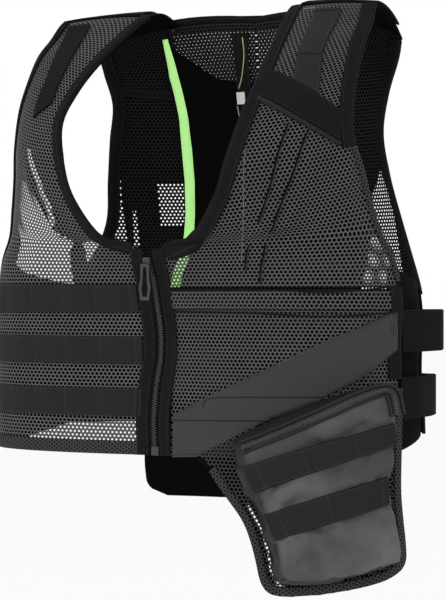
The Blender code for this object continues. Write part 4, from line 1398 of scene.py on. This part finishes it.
class VEST_OT_pocket(bpy.types.Operator):
    """Make the hip pocket on its net skirt"""

    bl_idname = "vest.pocket"
    bl_label = "Hip pocket"

    def execute(self, context):
        sizes = context.scene.vest_sizes
        front = form("front")
        self.skirt(front)
        self.body(front, sizes)
        face = sizes.tape_high + 0.0008 + sizes.pocket_depth
        ring = section(sizes.webbing, face - 0.0034, face + 0.0016, 7)
        bow = tacked_bow(0.0011, 0.0003)
        for number, table in enumerate(POCKET_WEBBING, 1):
            tape(f"pocket_web_{number}", "tacked", front, 1, table[:2], table[2:], ring, 70,
                 [f"pocket_webbing_{number}"], bow, 0.008)
        self.closing(front, sizes)
        return {"FINISHED"}

    def skirt(self, front):
        """The net skirt over its lining, inside a folded rim."""
        rim = smooth_run(SKIRT_RIM, 161)
        outline = [tuple(place) for place in rim[::4]]
        within = [tuple(place) for place in beside(rim, 0.0035)[::4]]
        heights, span = (0.800, 1.221), between(0.012, 0.240)
        net("skirt_net", "skirt", front, 1, heights, span, ["pocket_skirt_net"], lift=0.0025,
            outline=within)
        backing("skirt_lining", "lining", front, 1, heights, span, -0.0010, (SKIRT_SLIT,),
                outline)
        ring = section(0.009, 0.0005, 0.0044, 7, 0.0006)
        low = rim[14:]
        tape("skirt_fold", "fold", front, 1, low, beside(low, 0.009), ring, 150)

    def body(self, front, sizes):
        """The padded pocket: soft face, rounded shoulder, and walls down to its base."""
        columns, rows, wall = 56, 52, 0.14
        bm = bmesh.new()
        bmesh.ops.create_grid(bm, x_segments=columns, y_segments=rows, size=0.5)
        lower = list(bm.verts)
        raised = bmesh.ops.extrude_face_region(bm, geom=list(bm.faces))
        for vert in lower:
            vert.co.z = 0.0
        for item in raised["geom"]:
            if isinstance(item, bmesh.types.BMVert):
                item.co.z = 1.0
        mesh, flat = made_mesh(bm, "pocket_pad")
        u = (flat[:, 0] + 0.5) * (1 + 2 * wall) - wall
        v = (flat[:, 1] + 0.5) * (1 + 2 * wall) - wall
        beyond = np.maximum(np.maximum(-u, u - 1), np.maximum(-v, v - 1))
        drop = np.clip(beyond / wall, 0, 1)
        u, v = np.clip(u, 0, 1), np.clip(v, 0, 1)
        face, base = spread_between(FACE_EDGES, u, v), spread_between(BASE_EDGES, u, v)
        spot = face + (base - face) * (drop**1.3)[:, None]
        floor = sizes.tape_high + 0.0008
        rim = np.minimum(from_rim(u), from_rim(v))
        crown = np.clip(rim / 0.18, 0, 1)
        crown = crown * crown * (3 - 2 * crown)
        belt = np.exp(-((v - 0.26) / 0.13) ** 2) + np.exp(-((v - 0.60) / 0.13) ** 2)
        ripple = (np.sin(22 * v + 8 * u + 1.5 * np.sin(6 * u)) * np.sin(4 * u + 7 * v + 1)
                  + 0.6 * np.sin(15 * u - 11 * v))
        soft = (-0.0036 * belt + 0.0016 * ripple) * crown - 0.0024 * (1 - crown)
        top = sizes.pocket_depth + soft - 0.0006
        lift = floor + top * (1 - drop**2.2) * flat[:, 2]
        place_points(mesh, front.place(*spot.T, lift))
        wide, tall = 0.108, 0.155
        paint_map(mesh, np.stack([u * wide, v * tall], axis=1),
                  np.clip(1.4 - drop * 4, 0, 1) * flat[:, 2])
        close_tube(mesh, caps=False)
        made = add_piece("pocket_pad", mesh, "pocket", ["pocket_body"])
        held = (flat[:, 2] < 0.5) | (rim < 0.02) | (drop > 0) | (belt > 0.97)
        inflate(made, held, 0.0032)
        smooth = made.modifiers.new("Smooth", "SUBSURF")
        smooth.levels = smooth.render_levels = 1

    def closing(self, front, sizes):
        """The zip over the pocket's top, between two raised welts."""
        path = beside(smooth_run(POCKET_ZIP_RUN, 121), -0.0035)
        lift = sizes.pocket_depth + 0.0008
        ring = section(0.009, lift - 0.006, lift, 5)
        tape("pocket_zip_web", "webbing", front, 1, beside(path, -0.0045), beside(path, 0.0045),
             ring, 110, ["pocket_zip"])
        for word, near, far in (("upper", 0.0030, 0.0065), ("lower", -0.0065, -0.0030)):
            ring = section(0.005, lift - 0.004, lift + 0.0008, 7, 0.0014)
            tape(f"pocket_welt_{word}", "webbing", front, 1, beside(path, near),
                 beside(path, far), ring, 110)
        unrolled = path * (sizes.body_length, 1)
        length = float(lengths_along(unrolled)[-1])
        mesh, flat = coil_mesh("pocket_coil", length, 0.0016)
        along = np.linspace(0, length, len(path))
        height, distance = columns_at(flat[:, 1], along, path).T
        run = columns_at(flat[:, 1], along, unit(np.gradient(unrolled, axis=0))).T * flat[:, 0]
        place_points(mesh, front.place(height - run[1] / sizes.body_length, distance + run[0],
                                       flat[:, 2] + lift - 0.0002))
        add_piece("pocket_coil", turned_out(mesh), "coil")


class VEST_OT_back(bpy.types.Operator):
    """Make the net back with its pouch, piping, tail and tapes"""

    bl_idname = "vest.back"
    bl_label = "Back"

    def execute(self, context):
        sizes = context.scene.vest_sizes
        back = form("back")
        past_middle = -0.003
        span, piping = to_side(back, past_middle), np.array(NEON)
        for word, side in SIDES:
            net(f"back_net_{word}", "back_net", back, side, (BACK_TOP, BACK_HEM), span,
                ["back_net"], strand=0.00112)
            net(f"collar_net_{word}", "back_net", back, side, (BACK_TOP, 0.165),
                between(past_middle, 0.096), lift=-0.0016, strand=0.00150)
            low, high = (-0.0062, -0.0038) if side < 0 else (-0.0015, -0.0008)
            ring = section(0.010, low, high, 6)
            ring[:, 1] += -0.0012 * np.sin(math.pi * ring[:, 0]) * (ring[:, 1] < -0.005)
            rows = 10 if side < 0 else 8
            tape(f"piping_{word}", "neon", back, side, piping[:rows, :2],
                 piping[:rows, [0, 2]], ring, 80, [f"neon_piping_{word}"])
            backing(f"lining_{word}", "lining", back, side, (BACK_TOP, BACK_HEM), span, 0.0009,
                    CLEAR_BACK[side])
        edge = piping[:8, [0, 2]] + np.array((0, 0.002))
        pad = self.across("pouch_pad", "lining", back, edge, 48, 60, -0.0034, -0.0016,
                          ["protector_pouch"], 0.050)
        tail_top = BACK_HEM - 0.008
        share, reach = np.array(TAIL).T
        down = np.linspace(0, 1, 12)
        half = np.interp(down, share, reach) * back.width(tail_top)
        edge = level_run(tail_top + down * (TAIL_END - tail_top), half)
        tail = self.across("tail", "spacer_mesh_and_shade_sheet", back, edge, 60, 24, -0.0028, -0.0010,
                           ["back_tail"])
        declare(tail, 2 * half.max(), (TAIL_END - tail_top) * sizes.body_length)
        seam("back_band", back, -1, BACK_BAND, 0.010, -0.0018, "cloth", 30)
        collar = [(h, back.width(h) * 0.52) for h in (0.0, 0.026)]
        self.across("collar_tape_outer", "cloth", back, collar, 60, 6, 0.0012, 0.0032,
                    ["collar_binding"])
        hem = [(h, back.width(h)) for h in (BACK_HEM - 0.0367, BACK_HEM)]
        self.across("back_hem_tape", "cloth", back, hem, 80, 6, 0.0012, 0.0032, ["back_hem"])
        self.upright("collar_band", "cloth", (0.030, 0.218), 0.007, 0.018, (-0.0060, -0.0040), 6,
                     40, "collar_tape")
        # Pale lines of painted light down the middle of the back.
        for number, path in enumerate(CENTRE_LINES, 1):
            seam(f"centre_line_{number}", back, -1, path, 0.0011, -0.0072, "thread", 30)
        self.upright("label", "label", (0.150, 0.1775), 0.015, 0.010, (-0.0074, -0.0064), 4, 8,
                     "size_label")
        return {"FINISHED"}

    def upright(self, name, finish, heights, start, width, lifts, columns, rows, node):
        """A straight tape down the right half of the back, inside."""
        tape(name, finish, form("back"), -1, level_run(heights, start),
             level_run(heights, start + width), section(width, *lifts, columns), rows, [node])

    def across(self, name, finish, surface, edge, columns, rows, low, high, nodes, scoop=0.0):
        """A sheet over both halves; scoop is how far its top edge hangs at the middle."""
        sizes = bpy.context.scene.vest_sizes
        edge = resample(edge, rows)
        reach = float(edge[:, 1].mean())
        mesh, share, lift, j = ring_grid(section(2 * reach, low, high, columns), rows)
        signed = 2 * share - 1
        hang = scoop / sizes.body_length * (1 - signed**2) * (1 - j / rows) ** 2
        height = edge[j, 0] + hang
        at = surface.place(height, np.abs(signed) * edge[j, 1], lift)
        at[:, 0] *= np.where(signed < 0, -1, 1)
        place_points(mesh, at)
        along = (height - edge[0, 0]) * sizes.body_length
        rim = np.minimum(along.max() - along, np.minimum(along, (1 - np.abs(signed)) * reach))
        paint_map(mesh, np.stack([signed * reach, along], axis=1), rim)
        close_tube(mesh)
        return add_piece(name, mesh, finish, nodes)


def strap_behind(share, drop):
    """Points on the strap from the crest (drop 0) to the back's top edge (drop 1)."""
    front, back = form("front"), form("back")
    start = front.place(0 * share - 0.0023, share * front.width(0.0))
    seam = BACK_TOP - 0.0037
    reach = (STRAP_SEAM + (1 - STRAP_SEAM) * share) * back.width(seam)
    end = back.place(0 * share + seam, reach)
    crest = (start + end) / 2 + np.array((0, 0, STRAP_ARCH))
    t = drop[:, None]
    return start * (1 - t) ** 2 + crest * 2 * t * (1 - t) + end * t**2


def strap_lifted(share, drop, lift, side):
    step = 0.02
    sideways = strap_behind(share + step, drop) - strap_behind(share - step, drop)
    rearward = strap_behind(share, drop + step) - strap_behind(share, drop - step)
    at = strap_behind(share, drop) + unit(np.cross(sideways, rearward)) * lift[:, None]
    return at * np.array((side, 1, 1))


class VEST_OT_shoulders(bpy.types.Operator):
    """Make the rear straps and the closing flaps over the shoulders"""

    bl_idname = "vest.shoulders"
    bl_label = "Shoulders"

    def execute(self, context):
        for word, side in SIDES:
            self.sheet(f"strap_rear_{word}", "spacer_mesh_and_shade_sheet", side, (0.0, 1.0), (0.0, 1.06),
                       section(0.09, -0.0009, 0.0009, 12), [f"shoulder_rear_{word}"])
            self.sheet(f"flap_{word}", "cloth", side, (0.10, 1.02), (0.0, 0.80),
                       section(0.08, 0.0012, 0.0033, 12), [f"shoulder_flap_{word}"])
        return {"FINISHED"}

    def sheet(self, name, finish, side, wide, deep, ring, nodes):
        rows, span, fall = 24, 0.09, 0.06
        mesh, across, lift, j = ring_grid(ring, rows)
        share = wide[0] + (wide[1] - wide[0]) * across
        drop = deep[0] + (deep[1] - deep[0]) * j / rows
        place_points(mesh, strap_lifted(share, drop, lift, side))
        paint_map(mesh, np.stack([share * span, drop * fall], axis=1), from_rim(across) * span)
        close_tube(mesh)
        add_piece(name, mesh, finish, nodes)


class VEST_OT_straps(bpy.types.Operator):
    """Make the elastic side straps"""

    bl_idname = "vest.straps"
    bl_label = "Side straps"

    def execute(self, context):
        sizes = context.scene.vest_sizes
        front, back = form("front"), form("back")
        lift = 0.0047
        for word, side in SIDES:
            self.flap(f"flank_{word}", side, [f"side_flap_{word}"])
            for level, top, run in SIDE_STRAPS:
                start = front.place(top, front.width(top) + 0.001)[0]
                close = back.place(top, back.width(top) * 0.90, lift)[0]
                end = back.place(top, back.width(top) * 0.74, lift)[0]
                plan = [start[:2]]
                plan += [np.array((x * sizes.half_width, y * sizes.back_depth))
                         for x, y in run]
                plan = np.array(plan + [close[:2], end[:2]])
                self.strap(f"elastic_{level}_{word}", plan, top, side,
                           [f"side_strap_{level}_{word}"])
        return {"FINISHED"}

    def flap(self, name, side, nodes):
        """The plain flap that closes the side, inside the straps."""
        sizes = bpy.context.scene.vest_sizes
        back = form("back")
        columns, rows = 40, 44
        mesh, a, b = grid(columns, rows)
        turns = [np.array((x * sizes.half_width, y * sizes.back_depth)) for x, y in SIDE_FLAP_RUN]
        top = SIDE_FLAP_TOP[0] + (SIDE_FLAP_TOP[1] - SIDE_FLAP_TOP[0]) * a
        foot = SIDE_FLAP_FOOT[0] + (SIDE_FLAP_FOOT[1] - SIDE_FLAP_FOOT[0]) * a
        height = top + (foot - top) * b
        start = back.place(height, back.width(height) + 0.0019)[:, :2]
        plan = [start] + [start * 0 + turn for turn in turns]
        t = a[:, None]
        at = ((1 - t) ** 3 * plan[0] + 3 * t * (1 - t) ** 2 * plan[1]
              + 3 * t**2 * (1 - t) * plan[2] + t**3 * plan[3])
        place_points(mesh, np.stack(
            [at[:, 0] * side, at[:, 1], -height * sizes.body_length], axis=1))
        wide, tall = 0.075, 0.16
        paint_map(mesh, np.stack([a * wide, b * tall], axis=1),
                  np.minimum(from_rim(a) * wide, from_rim(b) * tall))
        bm = bmesh.new()
        bm.from_mesh(mesh)
        bmesh.ops.solidify(bm, geom=bm.faces[:], thickness=0.0014)
        bm.to_mesh(mesh)
        bm.free()
        close_tube(mesh, caps=False)
        made = add_piece(name, mesh, "lining", nodes)
        declare(made, wide, tall * 1.05)

    def strap(self, name, plan, top, side, nodes):
        sizes = bpy.context.scene.vest_sizes
        wide, rows, passes = sizes.side_strap, 60, 8
        line = resample(plan, rows)
        for _ in range(passes):
            line[1:-1] = (line[:-2] + 2 * line[1:-1] + line[2:]) / 4
        run_x, run_y = unit(np.gradient(line, axis=0)).T
        mesh, share, lift, j = ring_grid(section(wide, -0.0011, 0.0011, 9), rows)
        at = line[j] + np.stack([run_y, -run_x], axis=1)[j] * lift[:, None]
        height = -(top * sizes.body_length + share * wide)
        place_points(mesh, np.stack([at[:, 0] * side, at[:, 1], height], axis=1))
        paint_map(mesh, np.stack([share * wide, lengths_along(line)[j]], axis=1),
                  from_rim(share) * wide)
        close_tube(mesh)
        add_piece(name, mesh, "elastic", nodes)


class VEST_OT_stage(bpy.types.Operator):
    """Set the pale floor, the soft lights and the camera"""

    bl_idname = "vest.stage"
    bl_label = "Stage"

    def execute(self, context):
        scene = context.scene
        scene.view_settings.view_transform = "Standard"
        world = bpy.data.worlds.new("studio")
        world.use_nodes = True
        back = world.node_tree.nodes["Background"]
        back.inputs["Color"].default_value = (1, 1, 1, 1)
        back.inputs["Strength"].default_value = 1.0
        scene.world = world
        bm = bmesh.new()
        bmesh.ops.create_grid(bm, x_segments=1, y_segments=1, size=40)
        bmesh.ops.translate(bm, vec=(0, 0, -1.35), verts=bm.verts)
        mesh, _ = made_mesh(bm, "floor")
        floor = bpy.data.objects.new("floor", mesh)
        scene.collection.objects.link(floor)
        finish = Finish("floor", (0.95, 0.95, 0.95), 0.9, 0.1)
        finish.tint(finish.noise(0.5) * 0.1, (0.93, 0.93, 0.93))
        mesh.materials.append(finish.close())
        lamps = (("key", (-1.6, -2.2, 1.6), 28, 1.6), ("fill", (2.4, -1.6, 0.6), 12, 2.0),
                 ("rim", (0.6, 2.4, 1.4), 14, 1.6))
        for name, spot, power, size in lamps:
            data = bpy.data.lights.new(name, "AREA")
            data.energy, data.size = power, size
            lamp = bpy.data.objects.new(name, data)
            lamp.location = spot
            aim = Vector((0, 0, -0.25)) - Vector(spot)
            lamp.rotation_euler = aim.to_track_quat("-Z", "Y").to_euler()
            scene.collection.objects.link(lamp)
        data = bpy.data.cameras.new("camera")
        data.lens, data.sensor_width = 145.3, 36
        data.shift_x, data.shift_y = 8 / 600, -10 / 600
        camera = bpy.data.objects.new("camera", data)
        turn, away = math.radians(30), 2.3
        camera.location = (away * math.sin(turn), -away * math.cos(turn), -0.26125)
        camera.rotation_euler = (math.radians(90), 0, turn)
        scene.collection.objects.link(camera)
        scene.camera = camera
        return {"FINISHED"}


OPERATORS = (VEST_OT_nets, VEST_OT_bindings, VEST_OT_patches, VEST_OT_webbing, VEST_OT_zip,
             VEST_OT_pocket, VEST_OT_back, VEST_OT_shoulders, VEST_OT_straps, VEST_OT_stage)


class VEST_PT_panel(bpy.types.Panel):
    """Sizes, colours and pieces of the vest"""

    bl_idname = "VEST_PT_panel"
    bl_label = "Vest"
    bl_space_type = "VIEW_3D"
    bl_region_type = "UI"
    bl_category = "Vest"

    def draw(self, context):
        for group in (context.scene.vest_sizes, context.scene.vest_colours):
            for name in type(group).__annotations__:
                self.layout.prop(group, name)
        for operator in OPERATORS:
            self.layout.operator(operator.bl_idname)


CLASSES = (VestSizes, VestColours, *OPERATORS, VEST_PT_panel)


def register():
    for item in CLASSES:
        bpy.utils.register_class(item)
    bpy.types.Scene.vest_sizes = PointerProperty(type=VestSizes)
    bpy.types.Scene.vest_colours = PointerProperty(type=VestColours)


def unregister():
    del bpy.types.Scene.vest_colours
    del bpy.types.Scene.vest_sizes
    for item in reversed(CLASSES):
        bpy.utils.unregister_class(item)


def main():
    register()
    for operator in OPERATORS:
        group, name = operator.bl_idname.split(".")
        getattr(getattr(bpy.ops, group), name)()


if __name__ == "__main__":
    main()
